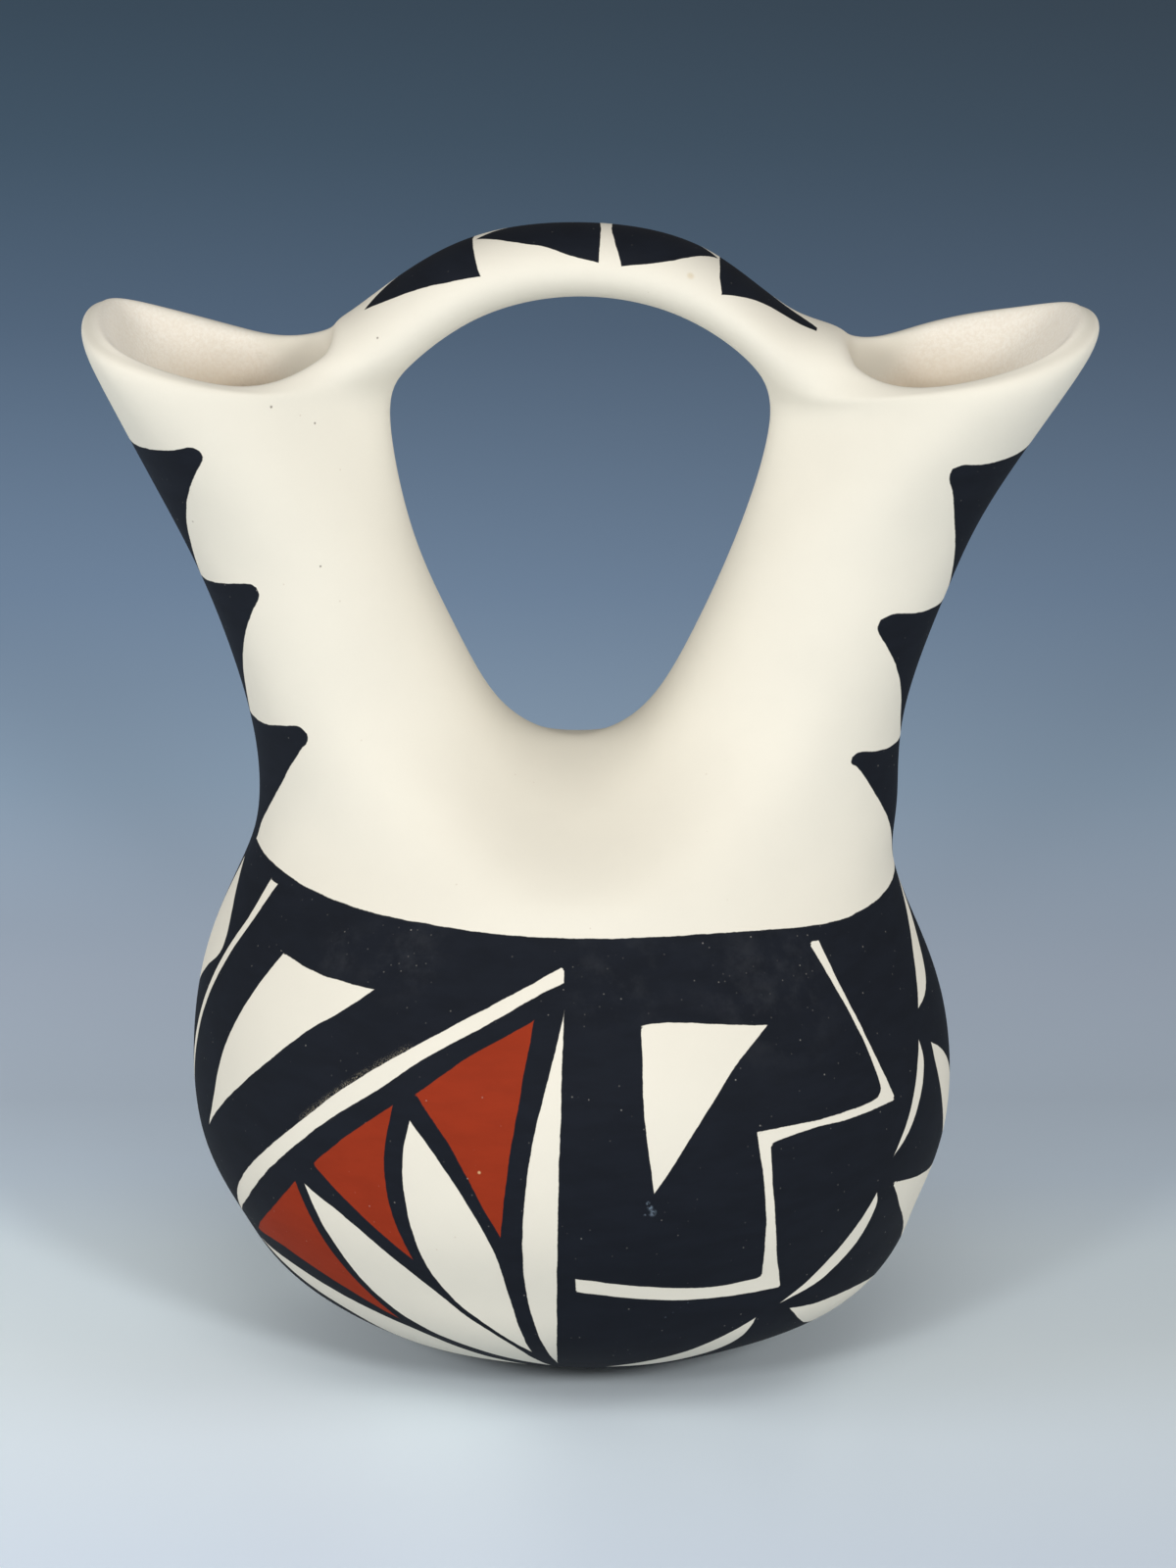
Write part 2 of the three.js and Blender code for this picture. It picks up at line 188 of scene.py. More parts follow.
LEAF_LOWER = [
    [(53.8, 77), (54.6, 73.5), (52.8, 65.5), (46.5, 58.8), (38, 55.2)],
    [(44, 60.7), (49.5, 68)],
]
PETAL_LOW = [
    [(40.4, 52.2), (46, 51.3), (52, 51.1), (60, 50.2), (70, 47.6), (78, 44)],
    [(68, 39), (57, 39.5), (49, 43), (44.5, 47)],
]
LEAF_BOTTOM = [
    [(33.3, 51.8), (27.3, 45.8), (20.5, 39.6), (7.5, 32)],
    [(20, 33), (28.5, 38), (32.5, 45)],
]
RED_1 = [
    [(-24.6, 106.5), (-18, 95.8), (-11, 78.3)],
    [(-9.6, 94.6), (-6.8, 121.4)],
    [(-16.5, 114.7)],
]
RED_2 = [
    [(-42.4, 87.7), (-34.6, 80), (-25.9, 70.4)],
    [(-28.4, 82), (-29.2, 93), (-28.2, 103.6)],
    [(-35.2, 96.3)],
]
RED_3 = [
    [(-67, 62), (-57, 62), (-45, 57), (-33.8, 50)],
    [(-40.5, 62.5), (-46.5, 82.5)],
    [(-54, 73.5)],
]
# Shapes that come near each other are kept apart, so that each keeps its sharp tips
BARE_SHAPES = [
    [KITE, DIAGONAL, THIN_STROKE, PETAL_A, TRIANGLE, STEPPED_LINE, LEAF_MIDDLE, PETAL_LOW, LEAF_BOTTOM],
    [PETAL_B, PETAL_D, PETAL_SIDE, LEAF_LOWER],
    [PETAL_C, WEDGE],
]
# Shapes that aren't painted again on the back
SINGLE_SHAPES = [[LEAF_UPPER], [LEAF_SLIVER], []]
RED_SHAPES = [RED_1, RED_2, RED_3]

# Teeth on the outer side of a spout: (degrees round the spout from its outer side, height).
# Each is half a tooth, from the middle of the side to its corner and down to the next one.
RIGHT_TEETH = [
    [
        [(-30, 190.6), (21, 190), (50, 190), (63, 190.7), (67.5, 190)],
        [(66.8, 188), (61, 184.6), (49, 177.6), (36, 171), (10, 158.5), (-30, 148)],
        [],
    ],
    [
        [(-30, 157), (14, 157), (42, 157.6), (60, 158.8), (67.3, 158)],
        [(67, 156), (60, 152.8), (47, 147.4), (30, 139.5), (9, 129), (-30, 118)],
        [],
    ],
    [
        [(-30, 127.5), (9, 127.6), (34, 128.5), (50.4, 130), (54.6, 129.4)],
        [(53.8, 128), (46.6, 125.6), (24, 114.7), (-3, 99), (-30, 90)],
        [],
    ],
]
LEFT_TEETH = [
    [
        [(-30, 190.4), (20, 191), (54, 193.1), (66, 194.4), (69.6, 193.8)],
        [(69.4, 192), (60, 187.4), (48, 181.7), (35, 175.2), (10, 161), (-30, 150)],
        [],
    ],
    [
        [(-30, 162), (14, 162.2), (35, 163), (60, 164.9), (65.5, 164.4)],
        [(65, 162.4), (57, 158.8), (46, 153.4), (30, 144.8), (5, 130), (-30, 120)],
        [],
    ],
    [
        [(-30, 133.5), (28, 133.7), (50, 135.2), (59.6, 136), (63.2, 134.8)],
        [(61.4, 132.8), (52, 129), (17, 112.6), (8, 105), (-30, 95)],
        [],
    ],
]
# The middle line of a spout's outer side: height, and how far out
SPOUT_MIDDLE = [(100, 32), (112, 32), (133, 40.5), (154, 49.6), (175, 58.7), (205, 70)]

# Marks of making and handling: (x, y, z, reach) in millimetres. Small holes in the slip
PINHOLES = [
    (-89.3, 4.1, 206.3, 0.32), (-60, -21.1, 201.8, 0.4), (-51.5, -16.2, 197, 0.35),
    (-39, -11.5, 213.3, 0.3), (-33.4, -12.4, 214.7, 0.35), (-76.1, -15.8, 176.3, 0.4),
    (-50.4, -23, 169.3, 0.3), (88.7, 18.7, 208.7, 0.22), (68.4, 17, 198.1, 0.22),
]
# Buff specks in the slip
BUFF_SPOTS = [
    (23.3, -10.1, 225.8, 1.1), (-46, -16, 206, 0.5), (30, -24, 160, 0.4), (-30, -30, 140, 0.4),
    (48, -26, 150, 0.35),
]
# Pale smudges on the black, bare spots in the red, and a scratch as a row of small marks
CHALK_SPOTS = [
    (14.8, -75.4, 53.4, 0.6), (15.2, -75.3, 52.4, 0.8), (15.7, -75.2, 51.3, 1.1), (14.2, -75.4, 50.8, 0.5),
]
RED_SPOTS = [
    (-18.7, -74.9, 59.7, 0.5), (-5, -75.2, 66, 0.25), (-22, -70, 74.5, 0.25), (-33, -66, 66, 0.22),
    (-24, -70, 77, 0.2),
]
SCRATCHES = [
    (18.3, -64.9, 25.6, 0.3), (19.8, -65, 26.7, 0.28), (21.3, -65.1, 27.8, 0.25), (22.8, -65.3, 28.8, 0.22),
]
# Places where the black has grey patches and more pale dust, and where the slip's edge has sprayed over it
GREY_PATCHES = [(-34, -52.2, 98.5, 14), (-46, -46, 96, 8), (40, -55, 92, 22), (10, -66, 100, 18)]
FUZZY_EDGE = [
    (-53.5, -56.5, 66.2, 4.5), (-50.3, -58.8, 69.2, 5), (-46.8, -61, 72.6, 5), (-43, -62.9, 76, 5),
    (-39, -64.3, 79.2, 4.5), (-35, -65.4, 82, 4),
]
# Coarse grit in the mouths
GRIT = [(-62.6, 16.1, 202.3, 1.8), (-66, 15.5, 201, 1.2), (63, 13.4, 198.7, 1.8), (67, 15, 200.5, 1.2)]

# Shapes on the handle: degrees along the arch from its crown, and round it from the top towards the front
HANDLE_SHAPES = [
    [
        [(-20.6, -69), (-28, -58), (-36, -40), (-41, -12), (-48.2, 17)],
        [(-41, 36), (-34.5, 49), (-28.5, 60), (-21.6, 69)],
        [],
    ],
    [
        [(4.4, -69), (-4, -50), (-13, -24), (-20.6, 2)],
        [(-13.5, 28), (-7, 44.5), (-1, 62), (4.5, 71)],
        [],
    ],
    [
        [(8, -69), (16, -56), (23, -34), (29.5, -3)],
        [(22, 38), (16, 60), (9.5, 73)],
        [(7.5, 35), (6.6, 0)],
    ],
    [
        [(31, -66), (39, -48), (47.5, -22), (56, 18)],
        [(46, 28), (38.6, 48), (32.8, 67)],
        [(30.8, 44), (29.8, 0)],
    ],
]

# Where the pattern lies: the heights of the belly's, those of the teeth, and how far out the teeth start
BELLY_PAINT = (0.3, 150)
TEETH_PAINT = (95, 200)
TEETH_START_OUT = 25
# The handle's pattern lies above this height and this near to the middle
HANDLE_PAINT_FOOT = 200
HANDLE_PAINT_OUT = 48
# How many degrees to each side of its middle the belly's pattern reaches
PATTERN_REACH = 110
# A point of the skin counts as outside while it's less than this far within
OUTSIDE = 0.3
# How far a shape's edge is told from in millimetres, and how near to it its two sides are told apart
FAR = 4.0
TIP_REACH = 1.5
# How much being squarely off a piece of a line counts where two pieces are equally near
CORNER_SHARE = 1e-3
# How far the red runs on under the black round it, in millimetres
UNDERLAP = 0.6
# Steps between two points of a brush run, and how far a run is drawn out past its ends
RUN_STEPS = 5
RUN_OUT = 12
# How many places are measured at once
BATCH = 2000
# The least that anything is divided by
TINY = 1e-9


def tone(red, green, blue):
    """A colour as its linear parts, from the 0 to 255 values that a painter's swatch is read at."""
    shares = (value / 255 for value in (red, green, blue))
    return tuple(((share + 0.055) / 1.055) ** 2.4 if share > 0.04 else share / 12.92 for share in shares)


# How the floor's colour changes from front to back, as painted light in a pale pool round the vase and
# painted shade darkening to slate behind it: (metres behind the middle of the vase, colour)
FLOOR_LIGHT_FALLOFF = [
    (-0.13, (224, 236, 249)), (-0.02, (239, 250, 255)), (0.045, (235, 248, 255)), (0.09, (221, 237, 252)),
    (0.14, (198, 213, 229)), (0.22, (191, 206, 225)), (0.27, (182, 200, 221)), (0.36, (162, 187, 212)),
    (0.51, (133, 161, 193)), (0.74, (94, 123, 154)), (0.93, (65, 99, 126)), (1.07, (48, 84, 110)),
]
# Where the colours above start, over what length they run, and the floor's radius, in metres
TONES_START = -0.2
TONES_LENGTH = 1.4
FLOOR_RADIUS = 2.4
# How far the floor lies under the foot, so that the two faces don't flicker
FLOOR_DROP = 0.1
FLOOR_ROUGHNESS = 0.42
FLOOR_GLOSS = 0.4
BACKDROP_TONE = tone(50, 75, 94)

# Lights: the power that each takes, its azimuth from the camera's side to the right, its elevation, and its
# width in metres
LIGHTS = [
    ("left_front", -26, 23, 0.35),
    ("right_front", 25, 23, 0.35),
    ("left", -70, 20, 1.3),
    ("right", 70, 20, 1.3),
    ("high", 0, 52, 1.3),
]
LIGHT_DISTANCE = 2.3
LIGHT_AIM = (0, 0, 0.1)
# The camera: place in metres, tilt up from straight down in degrees, sensor and focal length
CAMERA_PLACE = (0.00287, -2.4727, 0.9197)
CAMERA_TILT = 72
SENSOR_WIDTH = 36
FOCAL_LENGTH = 295.4


def length(name, description, millimetres):
    """A length that a user can set."""
    return FloatProperty(name=name, description=description, default=millimetres * MM, unit="LENGTH")


def colour(name, description, *swatch):
    """A colour that a user can set."""
    return FloatVectorProperty(
        name=name, description=description, subtype="COLOR", size=3, default=tone(*swatch)
    )


def power(name, description, watts):
    """The power of a light, which a user can set."""
    return FloatProperty(name=name, description=description, default=watts, unit="POWER")


class VaseForm(bpy.types.PropertyGroup):
    """Main sizes of the vase."""

    belly_height: length("Belly height", "Height of the widest turn", 57)
    crotch_height: length("Crotch height", "Height of the clay between the spouts", 125.2)
    crotch_half_width: length("Crotch half width", "Half the width of the saddle between the spouts", 5.8)
    crotch_half_depth: length("Crotch half depth", "Half the depth of that saddle", 9)
    lip_depth: length("Lip depth", "How far under its crest a lip has its full thickness", 5.5)
    lip_half_thickness: length("Lip half thickness", "Half the thickness of a lip", 3.3)
    handle_top: length("Handle top", "Height of the handle's middle line at its crown", 226.3)
    handle_half_span: length("Handle half span", "Half the width of the handle's arch", 49.5)
    handle_rise: length("Handle rise", "Height of the handle's arch", 41.9)
    wall: length("Wall", "Thickness of the clay wall", 5)
    floor: length("Floor", "Thickness of the clay under the inside", 7)
    lean: FloatProperty(
        name="Lean", description="How much the vase leans above its belly",
        default=math.radians(0.3), subtype="ANGLE",
    )
    rounds: IntProperty(
        name="Smoothing rounds", description="How finely the skin is divided", default=5, min=2, max=5
    )


class VaseFinish(bpy.types.PropertyGroup):
    """Colours and surface of the slip and the paint."""

    slip: colour("Slip", "Polished white slip", 226, 220, 205)
    # Bare clay in the mouths, as a lit and a shaded copy: pale at the top as painted light, darker down in
    # the mouths as painted shade
    lit_mouth_clay: colour("Bare clay", "Unslipped clay at the top of the mouths", 250, 246, 236)
    shaded_mouth_clay: colour("Deep clay", "Unslipped clay down in the mouths", 216, 198, 171)
    black: colour("Black", "Mineral black of the ground and teeth", 21, 25, 33)
    red: colour("Red", "Iron red of the three-cornered fills", 145, 47, 21)
    waver: FloatProperty(
        name="Waver", description="How far a painted edge strays, in millimetres", default=0.2
    )
    edge: FloatProperty(
        name="Edge", description="Width over which a painted edge fades, in millimetres", default=0.09
    )


class VaseStudio(bpy.types.PropertyGroup):
    """Floor and lights."""

    pale: colour("Floor", "Floor in front of and under the vase", 209, 220, 229)
    # Painted shade on the floor: how much darker its colour is made from left to right
    painted_shade_slant: FloatProperty(
        name="Slant", description="How much darker the floor gets from left to right, per metre", default=0.8
    )
    ambient: FloatProperty(
        name="Soft light", description="Strength of the even light from all round", default=0.21
    )
    left_front: power("Left front light", "Power of the smaller light left of the camera", 11.5)
    right_front: power("Right front light", "Power of the smaller light right of the camera", 17.5)
    left: power("Left light", "Power of the large light from the left", 20.5)
    right: power("Right light", "Power of the large light from the right", 14.0)
    high: power("High light", "Power of the large light high in front", 8.5)


# Cage of the skin

class Clay:
    """Points and four-cornered faces of the cage that the skin is drawn over.

    A point's within is none on the outside, a half on a lip's crest and one inside the vase.
    """

    def __init__(self):
        self.points = []
        self.within = []
        self.faces = []

    def add(self, points, within=0.0):
        """Adds points and returns their numbers."""
        first = len(self.points)
        self.points += [np.array(p, float) for p in points]
        self.within += [within] * len(points)
        return list(range(first, len(self.points)))

    def band(self, lower, upper, skip=None):
        """Joins two rings by faces, apart from one that stays open."""
        for i in range(len(lower)):
            j = (i + 1) % len(lower)
            if i != skip:
                self.faces.append((lower[i], lower[j], upper[j], upper[i]))


def turns(count):
    """The angles of points spread evenly round a ring."""
    return [(i + 0.5) * math.tau / count for i in range(count)]


def body_ring(height, half_width, half_depth, drift):
    """An oval ring of the body, from its row in the table."""
    return [
        (MM * (drift + half_width * math.cos(a)), MM * half_depth * math.sin(a), MM * height)
        for a in turns(BODY_POINTS)
    ]


def spout_ring(side, out, height, half_width, half_depth, tilt):
    """A tilted oval ring of a spout, from its row in the table."""
    tilt = math.radians(tilt)
    if side < 0:
        half_width -= LEFT_SLIMMER
    ring = []
    for a in turns(SPOUT_POINTS):
        across = half_width * math.cos(a)
        x = out + across * math.cos(tilt)
        z = height + across * math.sin(tilt)
        ring.append((side * MM * x, side * MM * half_depth * math.sin(a), MM * z))
    return ring


def lip_rings(form, side):
    """Outer, crest and inner rings of a lip. Points 3 and 4 face the handle and form its root."""
    table, root = (RIGHT_CREST, RIGHT_ROOT) if side > 0 else (LEFT_CREST, LEFT_ROOT)
    depth, half_thickness = form.lip_depth, form.lip_half_thickness
    outer, crest, inner = [], [], []
    for i, a in enumerate(turns(SPOUT_POINTS)):
        place = min(i, SPOUT_POINTS - 1 - i)
        if place == len(table):
            for ring, (out, height, half_depth) in zip((outer, crest, inner), root):
                ring.append(MM * np.array([out, math.copysign(half_depth, math.sin(a)), height]))
            continue
        out, height, half_depth = table[place]
        flare = math.radians(LIP_FLARE[place])
        c, s = math.cos(a), math.sin(a)
        top = MM * np.array([out, math.copysign(half_depth, s), height])
        under = top - depth * np.array([c * math.sin(flare), s * math.sin(flare), math.cos(flare)])
        outward = half_thickness * np.array([c * math.cos(flare), s * math.cos(flare), -math.sin(flare)])
        crest.append(top)
        outer.append(under + outward)
        inner.append(under - outward)
    turn = np.array([side, side, 1])
    return [[p * turn for p in ring] for ring in (outer, crest, inner)]


def handle_ring(form, station):
    """A ring round the handle: under back, under front, side front, over front, over back, side back."""
    turn = math.radians(HANDLE_END_ANGLE * station)
    end_sizes = HANDLE_RIGHT_END if station > 0 else HANDLE_LEFT_END
    half_height, half_depth = (
        MM * (crown + (end - crown) * abs(station)) for crown, end in zip(HANDLE_CROWN, end_sizes)
    )
    x = form.handle_half_span * math.sin(turn)
    z = form.handle_top - form.handle_rise * (1 - math.cos(turn))
    slope = math.atan2(form.handle_rise * math.sin(turn), form.handle_half_span * math.cos(turn))
    ring = []
    for degrees in (-120, -60, 0, 60, 120, 180):
        up = half_height * math.sin(math.radians(degrees))
        front = half_depth * math.cos(math.radians(degrees))
        ring.append((x + up * math.sin(slope), -front, z + up * math.cos(slope)))
    return ring


def outer_cage(form, clay):
    """The outside from the foot to the rings under the lips. Returns the two top rings."""
    rings = [clay.add(body_ring(*sizes)) for sizes in BODY_RINGS]
    centre, = clay.add([(0, 0, MM * BODY_RINGS[0][0])])
    foot = rings[0]
    for i in range(0, BODY_POINTS, 2):
        clay.faces.append((centre, foot[(i + 1) % BODY_POINTS], foot[i], foot[i - 1]))
    for lower, upper in zip(rings, rings[1:]):
        clay.band(lower, upper)
    w, d, z = form.crotch_half_width, form.crotch_half_depth, form.crotch_height
    saddle = clay.add([(w, -d, z), (w, d, z), (-w, d, z), (-w, -d, z)])
    right_front, right_back, left_back, left_front = saddle
    neck = rings[-1]
    clay.faces += [
        (neck[8], neck[9], right_front, left_front),
        (left_front, right_front, right_back, left_back),
        (left_back, right_back, neck[2], neck[3]),
    ]
    loops = {
        1: [*neck[:3], right_back, right_front, *neck[9:]],
        -1: [*neck[6:9], left_front, left_back, *neck[3:6]],
    }
    tops = []
    for side, ring in loops.items():
        for sizes in SPOUT_RINGS:
            above = clay.add(spout_ring(side, *sizes))
            clay.band(ring, above)
            ring = above
        tops.append(clay.add(lip_rings(form, side)[0]))
        clay.band(ring, tops[-1])
    return tops


def inner_cage(form, clay, tops):
    """The inside follows the outside at the wall's thickness."""
    points = np.array(clay.points)
    normals = np.zeros_like(points)
    for face in clay.faces:
        for i, corner in enumerate(face):
            onward, back = points[face[(i + 1) % 4]], points[face[i - 1]]
            normal = np.cross(onward - points[corner], back - points[corner])
            normals[corner] += normal / np.linalg.norm(normal)
    inside = points - form.wall * normals / np.linalg.norm(normals, axis=1)[:, None]
    inside[points[:, 2] < 0, 2] = form.floor
    for side, top in zip((1, -1), tops):
        inside[top] = lip_rings(form, side)[2]
    count = len(points)
    clay.add(list(inside), within=1.0)
    clay.faces += [tuple(corner + count for corner in reversed(face)) for face in clay.faces]
    return [[corner + count for corner in top] for top in tops]


def close_lips(form, clay, outer, inner):
    """The crests close the wall at the top, and the handle joins the two openings left in them."""
    ends = []
    for side, o, n in zip((1, -1), outer, inner):
        crest = clay.add(lip_rings(form, side)[1], within=0.5)
        clay.band(o, crest, skip=3)
        clay.band(crest, n, skip=3)
        back, front = (3, 4) if side > 0 else (4, 3)
        ends.append([o[back], o[front], crest[front], n[front], n[back], crest[back]])
        for corner in ends[-1]:
            clay.within[corner] = 0.0
    rings = [ends[0], *(clay.add(handle_ring(form, station)) for station in HANDLE_STATIONS), ends[1]]
    for before, after in zip(rings, rings[1:]):
        clay.band(before, after)


def cage_through(points, faces):
    """Places the cage so that the smoothed skin runs through the chosen points."""
    count = len(points)
    weights = np.zeros((count, count))
    valence = np.zeros(count)
    for face in faces:
        for i, corner in enumerate(face):
            valence[corner] += 1
            weights[corner, face[(i + 2) % 4]] += 1
            weights[corner, face[(i + 1) % 4]] += 2
            weights[corner, face[i - 1]] += 2
    weights[range(count), range(count)] += valence**2
    weights /= (valence * (valence + 5))[:, None]
    return np.linalg.solve(weights, points)


def smooth_skin(form):
    """The vase's whole skin as one fine mesh, with how far within the vase each point is."""
    clay = Clay()
    outer = outer_cage(form, clay)
    inner = inner_cage(form, clay, outer)
    close_lips(form, clay, outer, inner)
    points = np.array(clay.points)
    points[:, 0] += math.tan(form.lean) * np.maximum(0, points[:, 2] - form.belly_height)
    cage = bpy.data.meshes.new("clay_cage")
    cage.from_pydata(cage_through(points, clay.faces).tolist(), [], clay.faces)
    keep(cage, "within", clay.within)
    holder = bpy.data.objects.new("clay_cage", cage)
    bpy.context.scene.collection.objects.link(holder)
    smoothing = holder.modifiers.new("Smoothing", "SUBSURF")
    smoothing.levels = smoothing.render_levels = form.rounds
    depsgraph = bpy.context.evaluated_depsgraph_get()
    skin = bpy.data.meshes.new_from_object(
        holder.evaluated_get(depsgraph), preserve_all_data_layers=True, depsgraph=depsgraph
    )
    skin.name = SKIN
    bpy.data.objects.remove(holder)
    bpy.data.meshes.remove(cage)
    return skin


def numbers(items, name, width=1, kind=np.float32):
    """One property of all the items, as an array with a row for each item."""
    found = np.empty(len(items) * width, kind)
    items.foreach_get(name, found)
    return found.reshape(-1, width) if width > 1 else found


def keep(mesh, name, values):
    """Keeps one number, or three, for each point of a mesh."""
    values = np.asarray(values, np.float32)
    kind, key = ("FLOAT", "value") if values.ndim == 1 else ("FLOAT_VECTOR", "vector")
    mesh.attributes.new(name, kind, "POINT").data.foreach_set(key, values.ravel())


# Painted pattern

def smooth_run(points):
    """Points along a smooth curve through the given ones."""
    p = np.array(points, float)
    if len(p) == 2:
        return p
    ends = np.vstack([2 * p[0] - p[1], p, 2 * p[-1] - p[-2]])
    line = []
    for a, b, c, d in zip(ends, ends[1:], ends[2:], ends[3:]):
        t = (np.arange(RUN_STEPS) / RUN_STEPS)[:, None]
        bend, twist = 2 * a - 5 * b + 4 * c - d, 3 * b - a - 3 * c + d
        line.append(0.5 * (2 * b + (c - a) * t + bend * t**2 + twist * t**3))
    return np.vstack([*line, p[-1]])


def shape_lines(runs):
    """The runs of a shape as fine lines, each from corner to corner."""
    lines, corner = [], None
    for i, run in enumerate(runs):
        path = ([corner] if i else []) + list(run)
        if i == len(runs) - 1:
            path.append(runs[0][0])
        lines.append(smooth_run(path))
        corner = path[-1]
    return lines


def to_line(places, scale, line):
    """Distance in millimetres to a line, and whether its left side faces each place."""
    p, k = places[:, None, :], scale[:, None, :]
    a, b = line[None, :-1], line[None, 1:]
    start, along = (a - p) * k, (b - a) * k
    stretch = np.maximum((along**2).sum(axis=2), TINY)
    t = np.clip(-(start * along).sum(axis=2) / stretch, 0, 1)
    away = start + along * t[..., None]
    distance = (away**2).sum(axis=2)
    side = along[..., 1] * start[..., 0] - along[..., 0] * start[..., 1]
    # At a corner two pieces of the line are equally near, and the one more squarely off tells the side
    squarely = side**2 / stretch
    nearest = (distance - CORNER_SHARE * squarely).argmin(axis=1)
    row = np.arange(len(places))
    return np.sqrt(distance[row, nearest]), side[row, nearest] > 0


def run_on(line):
    """A line with its ends drawn out straight."""
    first, last = line[0] - line[1], line[-1] - line[-2]
    before = line[0] + first * RUN_OUT / np.hypot(*first)
    after = line[-1] + last * RUN_OUT / np.hypot(*last)
    return np.vstack([before, line, after])


def shape_depths(places, scale, lines):
    """How deep in a shape each place is, and how deep past each of its two sides, in millimetres.

    The sides are the even and the odd runs, or the first and the second half where there are many.
    They keep a tip or a line sharp where it is finer than the skin's facets.
    """
    outline = np.vstack([line[:-1] for line in lines])
    turned = np.roll(outline, -1, axis=0)
    anticlockwise = (outline[:, 0] * turned[:, 1] - outline[:, 1] * turned[:, 0]).sum() > 0
    above = (outline[None, :, 1] > places[:, None, 1]) != (turned[None, :, 1] > places[:, None, 1])
    rise = np.where(turned[:, 1] == outline[:, 1], 1, turned[:, 1] - outline[:, 1])
    crossing = outline[:, 0] + (places[:, None, 1] - outline[:, 1]) * (turned[:, 0] - outline[:, 0]) / rise
    inside = (above & (places[:, None, 0] < crossing)).sum(axis=1) % 2 == 1
    distance = np.min([to_line(places, scale, line)[0] for line in lines], axis=0)
    depth = np.where(inside, distance, -distance)
    if len(lines) > 3:
        middle = len(lines) // 2
        sides = [[np.vstack(lines[:middle])], [np.vstack(lines[middle:])]]
    else:
        sides = [lines[0::2], lines[1::2]]
    halves = []
    for half in sides:
        found = [to_line(places, scale, run_on(line)) for line in half]
        distances = np.array([d for d, _ in found])
        nearest = distances.argmin(axis=0)
        row = np.arange(len(places))
        left = np.array([s for _, s in found])[nearest, row]
        halves.append(np.where(left == anticlockwise, distances[nearest, row], -distances[nearest, row]))
    plain = (depth < -TIP_REACH) | ((np.minimum(*halves) > 0) != inside)
    return depth, np.where(plain, depth, halves[0]), np.where(plain, depth, halves[1])


def lay_shapes(places, scale, shapes):
    """Depths past the even and odd runs of whichever of the shapes is nearest to each place."""
    best = np.full(len(places), -FAR)
    even, odd = best.copy(), best.copy()
    margin = FAR / scale.min(axis=0)
    for runs in shapes:
        lines = shape_lines(runs)
        low = np.min([line.min(axis=0) for line in lines], axis=0) - margin
        high = np.max([line.max(axis=0) for line in lines], axis=0) + margin
        near = np.flatnonzero(((places > low) & (places < high)).all(axis=1))
        for part in np.array_split(near, len(near) // BATCH + 1):
            if not len(part):
                continue
            depth, at_even, at_odd = shape_depths(places[part], scale[part], lines)
            deeper = depth > best[part]
            chosen = part[deeper]
            best[chosen], even[chosen], odd[chosen] = depth[deeper], at_even[deeper], at_odd[deeper]
    return np.clip(even, -FAR, FAR), np.clip(odd, -FAR, FAR)


def up_the_wall(height, belly_height):
    """Millimetres up the wall from the foot, for a height in millimetres."""
    low = belly_height * np.arccos(np.clip(1 - height / belly_height, -1, 1))
    return np.where(height < belly_height, low, belly_height * (math.pi / 2 - 1) + height)


def paint_belly(x, y, z, belly_height):
    """Depth under the band, and even and odd depths in the bare and the red shapes, front and back."""
    rise = up_the_wall(z, belly_height)
    degrees = np.degrees(np.arctan2(x, -y))
    scale = np.stack([np.maximum(np.hypot(x, y), 1) * math.pi / 180, np.ones_like(rise)], axis=1)
    band = smooth_run(BAND)
    ground = np.clip(np.interp(degrees, band[:, 0], band[:, 1]) - rise, -FAR, FAR)
    on_front = np.where(np.abs(degrees) < 180, degrees, 0)
    found = []
    for shapes, single in zip((*BARE_SHAPES, RED_SHAPES), (*SINGLE_SHAPES, [])):
        even = np.full(len(x), -FAR)
        odd = even.copy()
        for turn in (0, 180, -180):
            places = np.stack([on_front + turn, rise], axis=1)
            near = np.flatnonzero(np.abs(places[:, 0]) < PATTERN_REACH)
            painted = shapes if turn else shapes + single
            at_even, at_odd = lay_shapes(places[near], scale[near], painted)
            deeper = np.minimum(at_even, at_odd) > np.minimum(even[near], odd[near])
            even[near[deeper]], odd[near[deeper]] = at_even[deeper], at_odd[deeper]
        found.append((even, odd))
    return ground, found


def paint_spouts(x, y, z):
    """Even and odd depths in the teeth on the outer sides of the spouts, every second tooth apart."""
    found = [[np.full(len(x), -FAR), np.full(len(x), -FAR)] for _ in range(2)]
    heights, outs = zip(*SPOUT_MIDDLE)
    for side, teeth in ((1, RIGHT_TEETH), (-1, LEFT_TEETH)):
        here = np.flatnonzero(side * x > 0)
        out = side * x[here] - np.interp(z[here], heights, outs)
        degrees = np.degrees(np.arctan2(np.abs(y[here]), out))
        scale = np.stack([np.hypot(out, y[here]) * math.pi / 180, np.ones(len(here))], axis=1)
        places = np.stack([degrees, z[here]], axis=1)
        for i, shapes in enumerate((teeth[0::2], teeth[1::2])):
            found[i][0][here], found[i][1][here] = lay_shapes(places, scale, shapes)
    return found


def paint_handle(x, y, z, form):
    """Even and odd depths in the shapes along the top of the handle, every second shape apart."""
    span, rise = form.handle_half_span / MM, form.handle_rise / MM
    base = form.handle_top / MM - rise
    along = np.arctan2(x / span, (z - base) / rise)
    slope = np.arctan2(rise * np.sin(along), span * np.cos(along))
    up = (x - span * np.sin(along)) * np.sin(slope) + (z - base - rise * np.cos(along)) * np.cos(slope)
    around = np.degrees(np.arctan2(-y / HANDLE_CROWN[1], up / HANDLE_CROWN[0]))
    places = np.stack([np.degrees(along), around], axis=1)
    scale = np.tile([math.radians(span), math.radians(HANDLE_CROWN[1])], (len(x), 1))
    return [lay_shapes(places, scale, shapes) for shapes in (HANDLE_SHAPES[0::2], HANDLE_SHAPES[1::2])]


